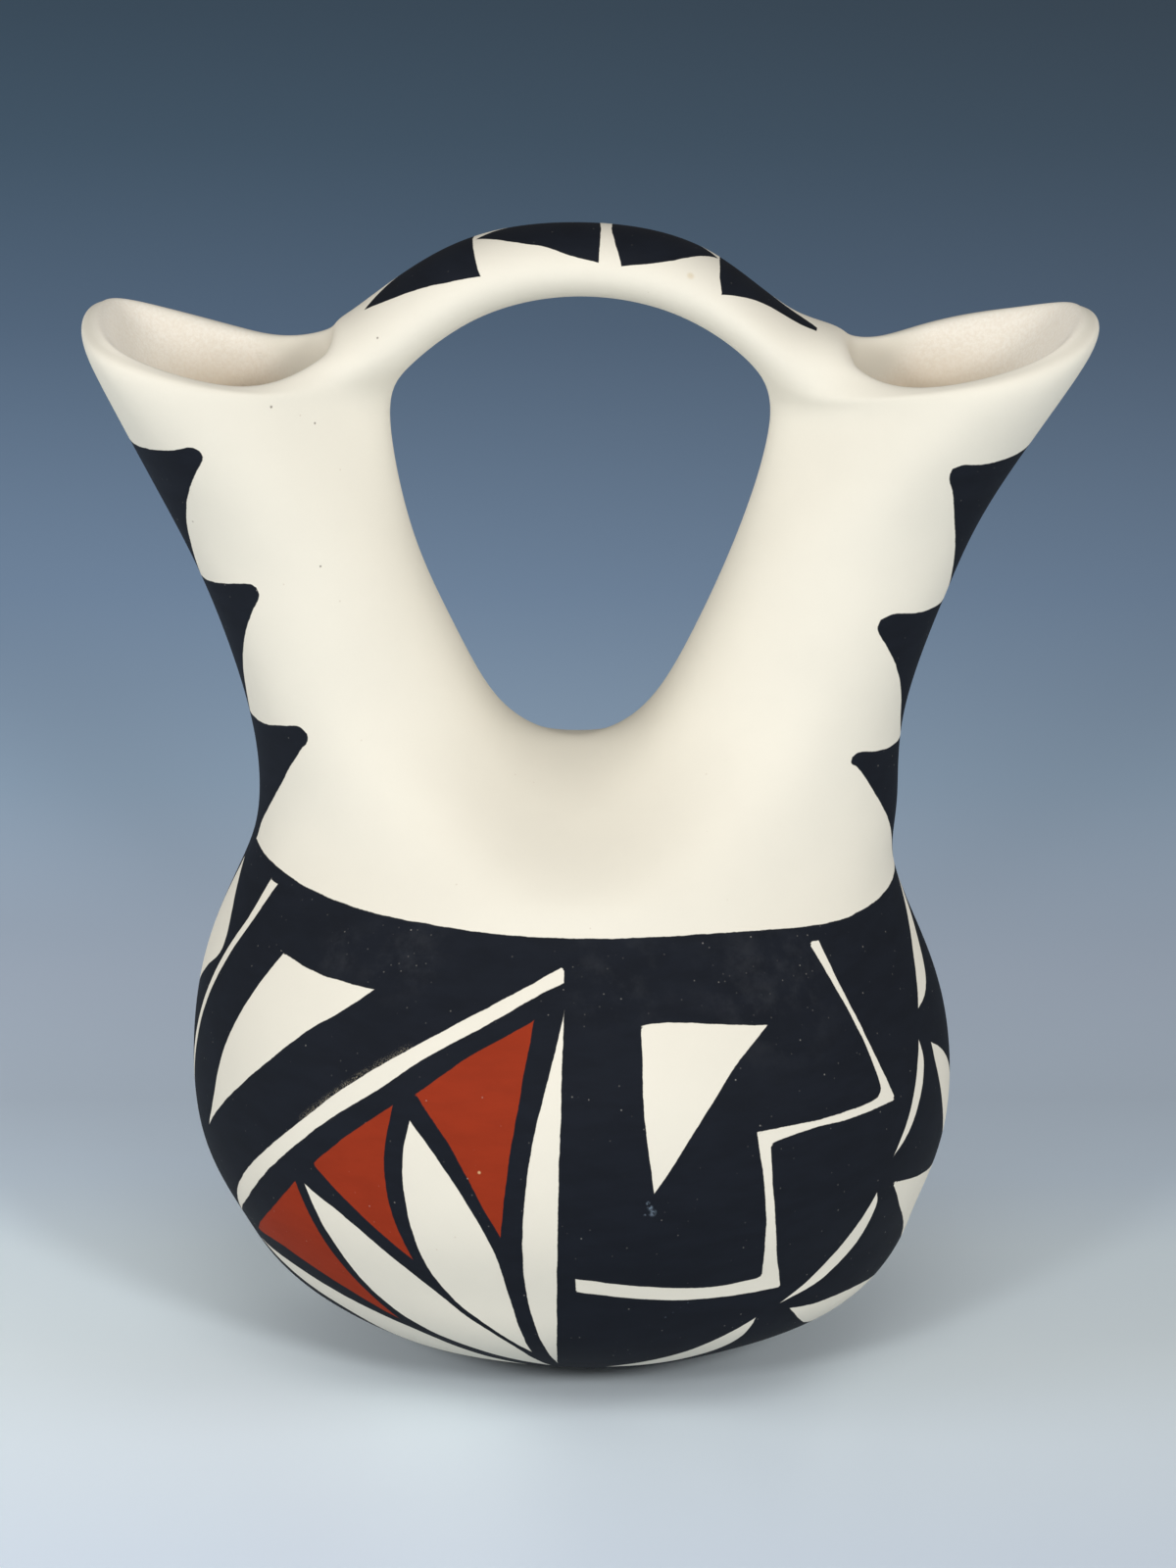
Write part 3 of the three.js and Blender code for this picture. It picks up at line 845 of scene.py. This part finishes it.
def paint_skin(skin, form):
    """Writes how deep in each kind of shape each point of the skin is, in millimetres."""
    place = numbers(skin.vertices, "co", 3).astype(float) / MM
    outside = numbers(skin.attributes["within"].data, "value") < OUTSIDE
    x, y, z = place.T
    x = x - math.tan(form.lean) * np.maximum(0, z - form.belly_height / MM)
    dark = np.full((2, len(x), 3), -FAR)
    bare = np.full((2, len(x), 3), -FAR)
    fill = np.full((len(x), 3), -FAR)
    body = outside & (z > BELLY_PAINT[0]) & (z < BELLY_PAINT[1])
    ground, found = paint_belly(x[body], y[body], z[body], form.belly_height / MM)
    for half in range(2):
        dark[half, body, 2] = ground
        for i in range(3):
            bare[half, body, i] = found[i][half]
        fill[body, half] = found[3][half]
    spouts = outside & (z > TEETH_PAINT[0]) & (z < TEETH_PAINT[1]) & (np.abs(x) > TEETH_START_OUT)
    handle = outside & (z > HANDLE_PAINT_FOOT) & (np.abs(x) < HANDLE_PAINT_OUT)
    for part, halves in (
        (spouts, paint_spouts(x[spouts], y[spouts], z[spouts])),
        (handle, paint_handle(x[handle], y[handle], z[handle], form)),
    ):
        for i, pair in enumerate(halves):
            for half in range(2):
                dark[half, part, i] = pair[half]
    for half, ending in enumerate(("_even", "_odd")):
        keep(skin, "dark" + ending, dark[half])
        keep(skin, "bare" + ending, bare[half])
    keep(skin, "fill", fill)


# Parting the skin into its clay pieces

# Points this near to a cut are taken as on it
SNAP = 0.03
# Joins whose middles are nearer than this to the vase's middle belong to the body and not to a spout
BODY_JOIN_OUT = 15


def part_skin(skin):
    """Cuts the skin along the joins, and takes away what is under the foot."""
    keep(skin, "smooth_normal", numbers(skin.vertex_normals, "vector", 3))
    bm = bmesh.new()
    bm.from_mesh(skin)
    cuts = [((0, 0, height * MM), (0, 0, 1), -1) for height in (0, *LEVEL_JOINS)]
    cuts += [((side * HANDLE_JOIN_OUT * MM, 0, 0), (1, 0, 0), ROOT_HEIGHT * MM) for side in (-1, 1)]
    for point, direction, lowest in cuts:
        faces = [f for f in bm.faces if f.calc_center_median().z > lowest]
        edges = list(dict.fromkeys(e for f in faces for e in f.edges))
        verts = list(dict.fromkeys(v for e in edges for v in e.verts))
        everything = [*verts, *edges, *faces]
        bmesh.ops.bisect_plane(bm, geom=everything, dist=SNAP * MM, plane_co=point, plane_no=direction)
    below = [f for f in bm.faces if f.calc_center_median().z < 0]
    bmesh.ops.delete(bm, geom=below, context="FACES")
    for vert in bm.verts:
        vert.co.z = max(vert.co.z, 0)
    bm.to_mesh(skin)
    bm.free()


def piece_of_face(centres):
    """The number of the piece that each face belongs to, in the order of PIECES."""
    x, _, z = (centres / MM).T
    level = np.searchsorted(LEVEL_JOINS, z)
    top = len(LEVEL_JOINS)
    right = x > 0
    found = np.where(level == top - 1, PIECES.index("left_spout") + right, level)
    found[level == top] = PIECES.index("left_lip") + right[level == top]
    at_handle = (level == top) & (np.abs(x) < HANDLE_JOIN_OUT) & (z > ROOT_HEIGHT)
    found[at_handle] = PIECES.index("handle_arch")
    return found


def cut_piece(name):
    """One clay piece as a closed mesh: its part of the skin, and flat faces at its joins."""
    skin = bpy.data.meshes[SKIN]
    centres = numbers(skin.polygons, "center", 3)
    starts = numbers(skin.polygons, "loop_start", kind=np.int32)
    totals = numbers(skin.polygons, "loop_total", kind=np.int32)
    corners = numbers(skin.loops, "vertex_index", kind=np.int32)
    mine = piece_of_face(centres) == PIECES.index(name)
    starts, totals = starts[mine], totals[mine]
    firsts = np.concatenate([[0], np.cumsum(totals)[:-1]])
    taken = corners[np.repeat(starts - firsts, totals) + np.arange(totals.sum())]
    used, renumbered = np.unique(taken, return_inverse=True)
    mesh = bpy.data.meshes.new(name + "_clay")
    mesh.vertices.add(len(used))
    mesh.loops.add(len(taken))
    mesh.polygons.add(len(totals))
    mesh.vertices.foreach_set("co", numbers(skin.vertices, "co", 3)[used].ravel())
    mesh.loops.foreach_set("vertex_index", renumbered.astype(np.int32))
    mesh.polygons.foreach_set("loop_start", firsts.astype(np.int32))
    mesh.update(calc_edges=True)
    keep(mesh, "within", numbers(skin.attributes["within"].data, "value")[used])
    keys = ["smooth_normal", "dark_even", "dark_odd"]
    if name == "yoke" or name in BODY_PIECES:
        keys += ["bare_even", "bare_odd", "fill"]
    for key in keys:
        keep(mesh, key, numbers(skin.attributes[key].data, "vector", 3)[used])
    close_joins(mesh)
    return mesh


def edge_loops(edges):
    """Splits border edges into their closed loops."""
    left = dict.fromkeys(edges)
    loops = []
    while left:
        edge = next(iter(left))
        vert = edge.verts[0]
        loop = []
        while edge:
            del left[edge]
            loop.append(edge)
            vert = edge.other_vert(vert)
            edge = next((e for e in vert.link_edges if e in left), None)
        loops.append(loop)
    return loops


def close_joins(mesh):
    """Closes each open border with flat faces, from its outside to its inside where it's a wall's."""
    bm = bmesh.new()
    bm.from_mesh(mesh)
    flat = bm.faces.layers.int.new("join")
    by_join = {}
    for loop in edge_loops([e for e in bm.edges if e.is_boundary]):
        places = [v.co for e in loop for v in e.verts]
        spread = [max(p[i] for p in places) - min(p[i] for p in places) for i in range(3)]
        axis = spread.index(min(spread))
        middle = sum(p[0] for p in places) / len(places)
        side = 0 if axis == 0 or abs(middle) < BODY_JOIN_OUT * MM else math.copysign(1, middle)
        by_join.setdefault((axis, round(places[0][axis] / MM), side), []).append(loop)
    for loops in by_join.values():
        edges = [e for loop in loops for e in loop]
        if len(loops) == 2:
            made = bmesh.ops.bridge_loops(bm, edges=edges)["faces"]
        else:
            made = bmesh.ops.triangle_fill(bm, edges=edges, use_beauty=True)["geom"]
        for face in made:
            if isinstance(face, bmesh.types.BMFace):
                face[flat] = 1
    bmesh.ops.recalc_face_normals(bm, faces=bm.faces[:])
    bm.to_mesh(mesh)
    bm.free()


def shade_smoothly(mesh):
    """Gives each corner the whole vase's smooth normal, so that no join shows, and leaves the joins flat."""
    smooth = numbers(mesh.attributes["smooth_normal"].data, "vector", 3)
    corners = numbers(mesh.loops, "vertex_index", kind=np.int32)
    totals = numbers(mesh.polygons, "loop_total", kind=np.int32)
    face_normals = np.repeat(numbers(mesh.polygons, "normal", 3), totals, axis=0)
    at_join = np.repeat(numbers(mesh.attributes["join"].data, "value", kind=np.int32), totals) > 0
    normals = np.where(at_join[:, None], face_normals, smooth[corners])
    normals /= np.maximum(np.linalg.norm(normals, axis=1), TINY)[:, None]
    mesh.polygons.foreach_set("use_smooth", np.ones(len(mesh.polygons), bool))
    mesh.normals_split_custom_set(normals.tolist())


def add_piece(name, material):
    """One clay piece with its finish, in place of the CAD's node of that name."""
    mesh = cut_piece(name)
    shade_smoothly(mesh)
    mesh.materials.append(material)
    piece = bpy.data.objects.new(name + "_clay", mesh)
    bpy.context.scene.collection.objects.link(piece)
    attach(piece, "root")
    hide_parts(name)


# Shader node groups

# Small stains on the slip and the paint, the painted shade in the pinholes and grey patches on the black:
# colour, and how strongly it covers
SPECK_STAIN = (tone(176, 150, 124), 0.3)
PINHOLE_SHADE = (tone(96, 84, 74), 0.75)
BUFF_STAIN = (tone(205, 186, 148), 0.5)
RED_SPOT_STAIN = (tone(214, 180, 130), 0.8)
GREYING_TONE = (tone(140, 142, 146), 0.045)
SPRAY_STAIN = (tone(160, 150, 128), 0.6)
CHALK_STAIN = (tone(150, 168, 186), 0.4)
DUST_STAIN = (tone(205, 200, 190), 0.42)
# How much of a colour is left where its mottling or its streaks are darkest
SLIP_LEAST = 0.975
RED_LEAST = 0.9
BLACK_LEAST = 0.8
# Sizes of the noises, as features to the metre
WAVER_SCALE = 230
BRISTLE_SCALE = 1300
HOLLOW_SCALE = 45
SMOOTHING_SCALE = 160
GRAIN_SCALE = 2600
MOTTLE_SCALE = 60
SPECK_SCALE = 260
STREAK_SCALE = 90
GREYING_SCALE = 150
DUST_SCALE = 620
BARE_CLAY_SCALE = 1400
CHALK_SCALE = 1500
SPRAY_SCALE = 4200
# Heights between which painted shade takes the bare clay in a mouth to its deep tone
MOUTH_SHADE_START = 205
MOUTH_SHADE_END = 188
# Roughness that paint adds to the slip, that the mottling adds, and that the bare clay has
PAINT_ROUGHNESS = 0.06
MOTTLE_ROUGHNESS = 0.12
BARE_ROUGHNESS = 0.95
CLAY_GLOSS = 0.12
RELIEF_STRENGTH = 0.6
RELIEF_DEPTH = 0.4


class Nodes:
    """Short ways to add nodes to a tree."""

    def __init__(self, tree):
        self.tree = tree

    def feed(self, value, socket):
        """Links an output to a socket, or sets the socket to a plain value."""
        if isinstance(value, bpy.types.NodeSocket):
            self.tree.links.new(value, socket)
        else:
            socket.default_value = value

    def add(self, kind, inputs=(), **settings):
        """Adds a node, with its settings first and then what goes into it."""
        node = self.tree.nodes.new(kind)
        for key, value in settings.items():
            setattr(node, key, value)
        for key, value in dict(inputs).items():
            self.feed(value, node.inputs[key])
        return node

    def math(self, operation, first, *others):
        """Takes each further value into the first by the same operation."""
        for value in others:
            first = self.add("ShaderNodeMath", {0: first, 1: value}, operation=operation).outputs[0]
        return first

    def plus(self, *values):
        return self.math("ADD", *values)

    def minus(self, *values):
        return self.math("SUBTRACT", *values)

    def times(self, *values):
        return self.math("MULTIPLY", *values)

    def least(self, *values):
        return self.math("MINIMUM", *values)

    def most(self, *values):
        return self.math("MAXIMUM", *values)

    def noise(self, place, scale, detail=2.0, roughness=0.5):
        inputs = {"Vector": place, "Scale": scale, "Detail": detail, "Roughness": roughness}
        return self.add("ShaderNodeTexNoise", inputs).outputs["Fac"]

    def cells(self, place, scale):
        """Distance to the middle of the nearest cell, and three chance values of that cell."""
        cells = self.add("ShaderNodeTexVoronoi", {"Vector": place, "Scale": scale}, feature="F1").outputs
        return cells["Distance"], self.add("ShaderNodeSeparateColor", {0: cells["Color"]}).outputs

    def ramp(self, value, low, high, start=0.0, end=1.0):
        """Rises smoothly from start to end as a value goes from low to high."""
        inputs = {"Value": value, "From Min": low, "From Max": high, "To Min": start, "To Max": end}
        return self.add("ShaderNodeMapRange", inputs, interpolation_type="SMOOTHSTEP").outputs["Result"]

    def mix(self, share, first, second):
        """A colour between two others, each a plain tone or an output."""
        first, second = (c if isinstance(c, bpy.types.NodeSocket) else (*c, 1) for c in (first, second))
        return self.add("ShaderNodeMix", {0: share, 6: first, 7: second}, data_type="RGBA").outputs[2]

    def mottled(self, pattern, full, least):
        """A colour that sinks to a share of itself where a pattern is low."""
        return self.mix(self.ramp(pattern, 0.3, 0.7), tuple(part * least for part in full), full)

    def stain_and_shade(self, surface, mask, stain):
        """A surface's colour with a tone over it where a mask shows it: stains and marks, and the painted
        shade in pinholes.
        """
        stain_tone, strength = stain
        return self.mix(self.times(mask, strength), surface, stain_tone)

    def axes(self, vector):
        return self.add("ShaderNodeSeparateXYZ", {0: vector}).outputs

    def attribute(self, name):
        return self.add("ShaderNodeAttribute", attribute_name=name).outputs

    def group(self, name, make, inputs):
        """Places a node group, which is made when the first material asks for it."""
        tree = bpy.data.node_groups.get(name) or make(name)
        return self.add("ShaderNodeGroup", inputs, node_tree=tree).outputs


def new_group(name, inputs, outputs):
    """A shader node group. Its inputs are numbers with a default, or places where the default is None."""
    group = bpy.data.node_groups.new(name, "ShaderNodeTree")
    for label, default in inputs.items():
        kind = "NodeSocketVector" if default is None else "NodeSocketFloat"
        socket = group.interface.new_socket(name=label, in_out="INPUT", socket_type=kind)
        if default is not None:
            socket.default_value = default
    for label in outputs:
        group.interface.new_socket(name=label, in_out="OUTPUT", socket_type="NodeSocketFloat")
    start = group.nodes.new("NodeGroupInput")
    end = group.nodes.new("NodeGroupOutput")
    return Nodes(group), start.outputs, end.inputs


def edge_group(name):
    """A painted edge: it strays a little, as a hand-held brush does, and fades over a hair's breadth."""
    n, start, end = new_group(name, {"Place": None, "Depth": 0.0, "Waver": 0.2, "Fade": 0.09}, ["Paint"])
    broad = n.minus(n.noise(start["Place"], WAVER_SCALE), 0.5)
    fine = n.minus(n.noise(start["Place"], BRISTLE_SCALE), 0.5)
    stray = n.plus(n.times(broad, 2.2), n.times(fine, 0.7))
    depth = n.plus(start["Depth"], n.times(stray, start["Waver"]))
    n.feed(n.ramp(depth, n.times(start["Fade"], -1.0), start["Fade"]), end["Paint"])
    return n.tree


def slip_group(name):
    """Polished slip over hand-smoothed clay: slow unevenness, fine grain, faint specks and mottling."""
    n, start, end = new_group(name, {"Place": None, "Grain": 0.3}, ["Height", "Mottle", "Speck"])
    place = start["Place"]
    hollows = n.noise(place, HOLLOW_SCALE, 1)
    strokes = n.noise(place, SMOOTHING_SCALE)
    grain = n.noise(place, GRAIN_SCALE, 3, 0.6)
    height = n.plus(n.times(hollows, 0.35), n.times(strokes, 0.05), n.times(grain, start["Grain"], 0.06))
    n.feed(height, end["Height"])
    n.feed(n.plus(n.times(n.noise(place, MOTTLE_SCALE, 4, 0.6), 0.7), n.times(grain, 0.3)), end["Mottle"])
    distance, chance = n.cells(place, SPECK_SCALE)
    rare = n.math("GREATER_THAN", chance[0], 0.86)
    n.feed(n.times(n.ramp(distance, 0.075, 0.02), rare), end["Speck"])
    return n.tree


def pigment_group(name):
    """Mineral paint: faint brush streaks, grey patches and pale dust, with the patches and more dust where
    the greying is given.
    """
    n, start, end = new_group(name, {"Place": None, "Rubbed": 0.0}, ["Streak", "Bloom", "Dust"])
    place, greying = start["Place"], start["Rubbed"]
    drawn_out = {"Vector": place, "Scale": (1.0, 1.0, 3.5), "Rotation": (0.0, 0.5, 0.0)}
    streaks = n.noise(n.add("ShaderNodeMapping", drawn_out).outputs[0], STREAK_SCALE, 3, 0.6)
    n.feed(streaks, end["Streak"])
    n.feed(n.times(greying, n.ramp(n.noise(place, GREYING_SCALE, 4, 0.65), 0.4, 0.75)), end["Bloom"])
    distance, chance = n.cells(place, DUST_SCALE)
    limit = n.minus(0.74, n.times(greying, 0.4))
    grains = n.times(n.ramp(distance, 0.15, 0.03), n.math("GREATER_THAN", chance[1], limit))
    paleness = n.plus(n.times(chance[0], chance[0], chance[0], 0.8), 0.16)
    n.feed(n.times(grains, paleness), end["Dust"])
    return n.tree


def mark_group(name):
    """A round mark: full near its middle, and faded out at its reach."""
    n, start, end = new_group(name, {"Place": None, "Middle": None, "Reach": MM}, ["Mark"])
    ends = {0: start["Place"], 1: start["Middle"]}
    distance = n.add("ShaderNodeVectorMath", ends, operation="DISTANCE").outputs["Value"]
    n.feed(n.ramp(distance, start["Reach"], n.times(start["Reach"], 0.25)), end["Mark"])
    return n.tree


# Materials

def marked(n, place, marks):
    """How strongly the nearest of the marks shows at each place, from none to one."""
    found = 0.0
    for *middle, reach in marks:
        inputs = {"Place": place, "Middle": [along * MM for along in middle], "Reach": reach * MM}
        found = n.most(found, n.group("Round mark", mark_group, inputs)["Mark"])
    return found


def depth_of(n, key):
    """Deepest of the shapes whose even and odd depths a pair of attributes holds."""
    pair = {i: n.attribute(key + half)["Vector"] for i, half in enumerate(("_even", "_odd"))}
    both = n.add("ShaderNodeVectorMath", pair, operation="MINIMUM").outputs["Vector"]
    return n.most(*n.axes(both))


def brushed(n, place, depth, finish):
    """Where paint lies, for how deep each place is within a painted shape."""
    inputs = {"Place": place, "Depth": depth, "Waver": finish.waver, "Fade": finish.edge}
    return n.group("Brushed edge", edge_group, inputs)["Paint"]


def unpainted(n, place, clay, bare, rough, finish):
    """White slip outside, and bare clay within the mouths, pale at the top as painted light and darker and
    warmer further down as painted shade.
    """
    slip = n.stain_and_shade(n.mottled(clay["Mottle"], finish.slip, SLIP_LEAST), clay["Speck"], SPECK_STAIN)
    # Painted shade: the bare clay darkens further down in the mouth
    deep = n.ramp(n.axes(place)[2], MOUTH_SHADE_START * MM, MOUTH_SHADE_END * MM)
    inside = n.mix(deep, finish.lit_mouth_clay, finish.shaded_mouth_clay)
    inside = n.mix(n.ramp(rough, 0.3, 0.7, 0.15, 0.4), inside, finish.shaded_mouth_clay)
    return n.mix(bare, slip, inside)


def red_paint(n, place, paint, finish):
    """Iron red, with a few bare spots where the grit shows."""
    red = n.mottled(paint["Streak"], finish.red, RED_LEAST)
    return n.stain_and_shade(red, marked(n, place, RED_SPOTS), RED_SPOT_STAIN)


def black_paint(n, place, paint, depth, finish, patterned):
    """Mineral black, and on the pattern a fuzzy edge, chalk and a scratch."""
    black = n.mottled(paint["Streak"], finish.black, BLACK_LEAST)
    black = n.stain_and_shade(black, paint["Bloom"], GREYING_TONE)
    if patterned:
        grains = n.ramp(n.noise(place, SPRAY_SCALE, 1), 0.5, 0.62)
        spray = n.times(marked(n, place, FUZZY_EDGE), n.ramp(depth, 1.5, 0.0), grains)
        black = n.stain_and_shade(black, spray, SPRAY_STAIN)
        chalk = n.times(marked(n, place, CHALK_SPOTS), n.ramp(n.noise(place, CHALK_SCALE), 0.35, 0.65))
        chalk = n.most(chalk, n.times(marked(n, place, SCRATCHES), 0.4))
        black = n.stain_and_shade(black, chalk, CHALK_STAIN)
    return black


def clay_material(name, slip_roughness, pinholes=(), patterned=False):
    """Slip, black and red paint, and bare clay within the mouths, each where the piece's own points say."""
    finish = bpy.context.scene.vase_finish
    material = bpy.data.materials.new(name)
    material.use_nodes = True
    n = Nodes(material.node_tree)
    place = n.add("ShaderNodeTexCoord").outputs["Object"]
    clay = n.group("Hand-smoothed clay", slip_group, {"Place": place})
    greying = marked(n, place, GREY_PATCHES if patterned else ())
    paint = n.group("Mineral paint", pigment_group, {"Place": place, "Rubbed": greying})
    bare = n.ramp(n.attribute("within")["Fac"], 0.45, 0.95)
    rough = n.noise(place, BARE_CLAY_SCALE, 4, 0.7)

    surface = unpainted(n, place, clay, bare, rough, finish)
    # Painted shade darkens the slip in each pinhole
    hole = marked(n, place, pinholes)
    surface = n.stain_and_shade(surface, hole, PINHOLE_SHADE)
    surface = n.stain_and_shade(surface, marked(n, place, () if patterned else BUFF_SPOTS), BUFF_STAIN)

    depth = depth_of(n, "dark")
    painted = 0.0
    if patterned:
        fill = n.least(*n.axes(n.attribute("fill")["Vector"])[:2])
        depth = n.least(depth, n.times(depth_of(n, "bare"), -1.0), n.times(fill, -1.0))
        painted = brushed(n, place, n.plus(fill, UNDERLAP), finish)
        surface = n.mix(painted, surface, red_paint(n, place, paint, finish))
    black = brushed(n, place, depth, finish)
    surface = n.mix(black, surface, black_paint(n, place, paint, depth, finish, patterned))
    painted = n.most(painted, black)
    surface = n.stain_and_shade(surface, n.times(paint["Dust"], painted), DUST_STAIN)

    unevenness = n.times(n.minus(clay["Mottle"], 0.5), MOTTLE_ROUGHNESS)
    roughness = n.plus(n.times(painted, PAINT_ROUGHNESS), slip_roughness, unevenness)
    grit = n.times(n.plus(marked(n, place, GRIT), 0.3), rough, bare)
    height = n.plus(clay["Height"], grit, n.times(painted, 0.02), n.times(hole, -0.4))
    relief = {"Height": height, "Strength": RELIEF_STRENGTH, "Distance": RELIEF_DEPTH * MM}
    shader = material.node_tree.nodes["Principled BSDF"].inputs
    n.feed(surface, shader["Base Color"])
    n.feed(n.most(roughness, n.times(bare, BARE_ROUGHNESS)), shader["Roughness"])
    n.feed(CLAY_GLOSS, shader["Specular IOR Level"])
    n.feed(n.add("ShaderNodeBump", relief).outputs["Normal"], shader["Normal"])
    return material


# Stage

def floor_material(studio):
    """Pale floor round the vase that darkens to slate far behind it and from left to right: painted light
    and shade, as under lights that fall off.
    """
    material = bpy.data.materials.new("Studio floor")
    material.use_nodes = True
    n = Nodes(material.node_tree)
    place = n.axes(n.add("ShaderNodeTexCoord").outputs["Object"])
    # Painted light and shade: the floor's colour runs from a pale pool round the vase to slate behind it
    along = n.math("DIVIDE", n.minus(place[1], TONES_START), TONES_LENGTH)
    shade = n.add("ShaderNodeValToRGB", {"Fac": along})
    points = shade.color_ramp.elements
    while len(points) < len(FLOOR_LIGHT_FALLOFF):
        points.new(0.5)
    for point, (back, swatch) in zip(points, FLOOR_LIGHT_FALLOFF):
        point.position = (back - TONES_START) / TONES_LENGTH
        point.color = (*tone(*swatch), 1)
    # Painted shade: the floor's colour darkens from left to right
    slanted = {0: shade.outputs["Color"], "Scale": n.minus(1.0, n.times(place[0], studio.painted_shade_slant))}
    shaded = n.add("ShaderNodeVectorMath", slanted, operation="SCALE").outputs["Vector"]
    seen = n.add("ShaderNodeLightPath").outputs
    shown = n.most(seen["Is Camera Ray"], seen["Is Glossy Ray"])
    shader = material.node_tree.nodes["Principled BSDF"].inputs
    n.feed(n.mix(shown, studio.pale, shaded), shader["Base Color"])
    n.feed(FLOOR_ROUGHNESS, shader["Roughness"])
    n.feed(FLOOR_GLOSS, shader["Specular IOR Level"])
    return material


def add_floor(studio):
    """A wide round floor just under the foot."""
    bm = bmesh.new()
    bmesh.ops.create_circle(bm, cap_ends=True, segments=96, radius=FLOOR_RADIUS)
    mesh = bpy.data.meshes.new("studio_floor")
    bm.to_mesh(mesh)
    bm.free()
    mesh.materials.append(floor_material(studio))
    floor = bpy.data.objects.new("studio_floor", mesh)
    floor.location.z = -FLOOR_DROP * MM
    bpy.context.scene.collection.objects.link(floor)


def add_area_light(name, azimuth, elevation, width, watts):
    """A round light, turned to the vase."""
    light = bpy.data.lights.new(name, "AREA")
    light.shape = "DISK"
    light.size = width
    light.energy = watts
    lamp = bpy.data.objects.new(name, light)
    around, up = math.radians(azimuth), math.radians(elevation)
    way = Vector((math.sin(around) * math.cos(up), -math.cos(around) * math.cos(up), math.sin(up)))
    lamp.location = Vector(LIGHT_AIM) + way * LIGHT_DISTANCE
    lamp.rotation_euler = way.to_track_quat("Z", "Y").to_euler()
    bpy.context.scene.collection.objects.link(lamp)


def surround_world(studio):
    """Even white light from all round, behind a slate backdrop that only the camera sees."""
    world = bpy.data.worlds.new("Soft surround")
    bpy.context.scene.world = world
    world.use_nodes = True
    n = Nodes(world.node_tree)
    back = world.node_tree.nodes["Background"].inputs
    seen = n.add("ShaderNodeLightPath").outputs["Is Camera Ray"]
    n.feed(n.mix(seen, (1.0, 1.0, 1.0), BACKDROP_TONE), back["Color"])
    n.feed(n.plus(n.times(seen, 1.0 - studio.ambient), studio.ambient), back["Strength"])


def add_camera():
    """The camera, where the photograph was taken from."""
    lens = bpy.data.cameras.new("Photo camera")
    lens.sensor_width = SENSOR_WIDTH
    lens.lens = FOCAL_LENGTH
    camera = bpy.data.objects.new("Photo camera", lens)
    camera.location = CAMERA_PLACE
    camera.rotation_euler = (math.radians(CAMERA_TILT), 0, 0)
    bpy.context.scene.collection.objects.link(camera)
    bpy.context.scene.camera = camera


# Operators

class ShapeClay(bpy.types.Operator):
    """Draw the whole skin of the vase, paint its pattern and cut it at the joins"""

    bl_idname = "vase.shape_clay"
    bl_label = "Shape and paint the clay"

    def execute(self, context):
        form = context.scene.vase_form
        skin = smooth_skin(form)
        paint_skin(skin, form)
        part_skin(skin)
        return {"FINISHED"}


class MakeBody(bpy.types.Operator):
    """Make the bowl, the belly wall and the shoulder wall, with their painted pattern"""

    bl_idname = "vase.make_body"
    bl_label = "Bowl and walls"

    def execute(self, context):
        material = clay_material("Painted slip, belly", 0.72, patterned=True)
        for name in BODY_PIECES:
            add_piece(name, material)
        return {"FINISHED"}


class MakeNeck(bpy.types.Operator):
    """Make the neck that splits into the two spouts"""

    bl_idname = "vase.make_neck"
    bl_label = "Neck"

    def execute(self, context):
        add_piece("yoke", clay_material("Polished slip, neck", 0.7, patterned=True))
        return {"FINISHED"}


class MakeSpouts(bpy.types.Operator):
    """Make the two spouts and their lips"""

    bl_idname = "vase.make_spouts"
    bl_label = "Spouts and lips"

    def execute(self, context):
        material = clay_material("Polished slip, spouts", 0.7, PINHOLES)
        for name in ("left_spout", "right_spout", "left_lip", "right_lip"):
            add_piece(name, material)
        return {"FINISHED"}


class MakeHandle(bpy.types.Operator):
    """Make the arched handle, and put away the skin, which is used up by then"""

    bl_idname = "vase.make_handle"
    bl_label = "Handle"

    def execute(self, context):
        add_piece("handle_arch", clay_material("Polished slip, handle", 0.68))
        bpy.data.meshes.remove(bpy.data.meshes[SKIN])
        return {"FINISHED"}


class MakeStage(bpy.types.Operator):
    """Make the floor, the lights and the camera"""

    bl_idname = "vase.make_stage"
    bl_label = "Stage"

    def execute(self, context):
        studio = context.scene.vase_studio
        add_floor(studio)
        for key, azimuth, elevation, width in LIGHTS:
            name = key.replace("_", " ").capitalize() + " light"
            add_area_light(name, azimuth, elevation, width, getattr(studio, key))
        surround_world(studio)
        add_camera()
        context.scene.view_settings.view_transform = "Standard"
        return {"FINISHED"}


STEPS = [ShapeClay, MakeBody, MakeNeck, MakeSpouts, MakeHandle, MakeStage]


class VasePanel(bpy.types.Panel):
    """Lists the steps that build the vase, and its main sizes and colours"""

    bl_idname = "VIEW3D_PT_wedding_vase"
    bl_label = "Wedding vase"
    bl_space_type = "VIEW_3D"
    bl_region_type = "UI"
    bl_category = "Wedding vase"

    def draw(self, context):
        for step in STEPS:
            self.layout.operator(step.bl_idname)
        for name in GROUPS:
            group = getattr(context.scene, name)
            box = self.layout.box()
            for key in group.__annotations__:
                box.prop(group, key)


GROUPS = {"vase_form": VaseForm, "vase_finish": VaseFinish, "vase_studio": VaseStudio}
CLASSES = [*GROUPS.values(), *STEPS, VasePanel]


def register():
    for cls in CLASSES:
        bpy.utils.register_class(cls)
    for name, group in GROUPS.items():
        setattr(bpy.types.Scene, name, PointerProperty(type=group))


def unregister():
    for name in GROUPS:
        delattr(bpy.types.Scene, name)
    for cls in reversed(CLASSES):
        bpy.utils.unregister_class(cls)


def main():
    register()
    bpy.ops.vase.shape_clay()
    bpy.ops.vase.make_body()
    bpy.ops.vase.make_neck()
    bpy.ops.vase.make_spouts()
    bpy.ops.vase.make_handle()
    bpy.ops.vase.make_stage()


if __name__ == "__main__":
    main()
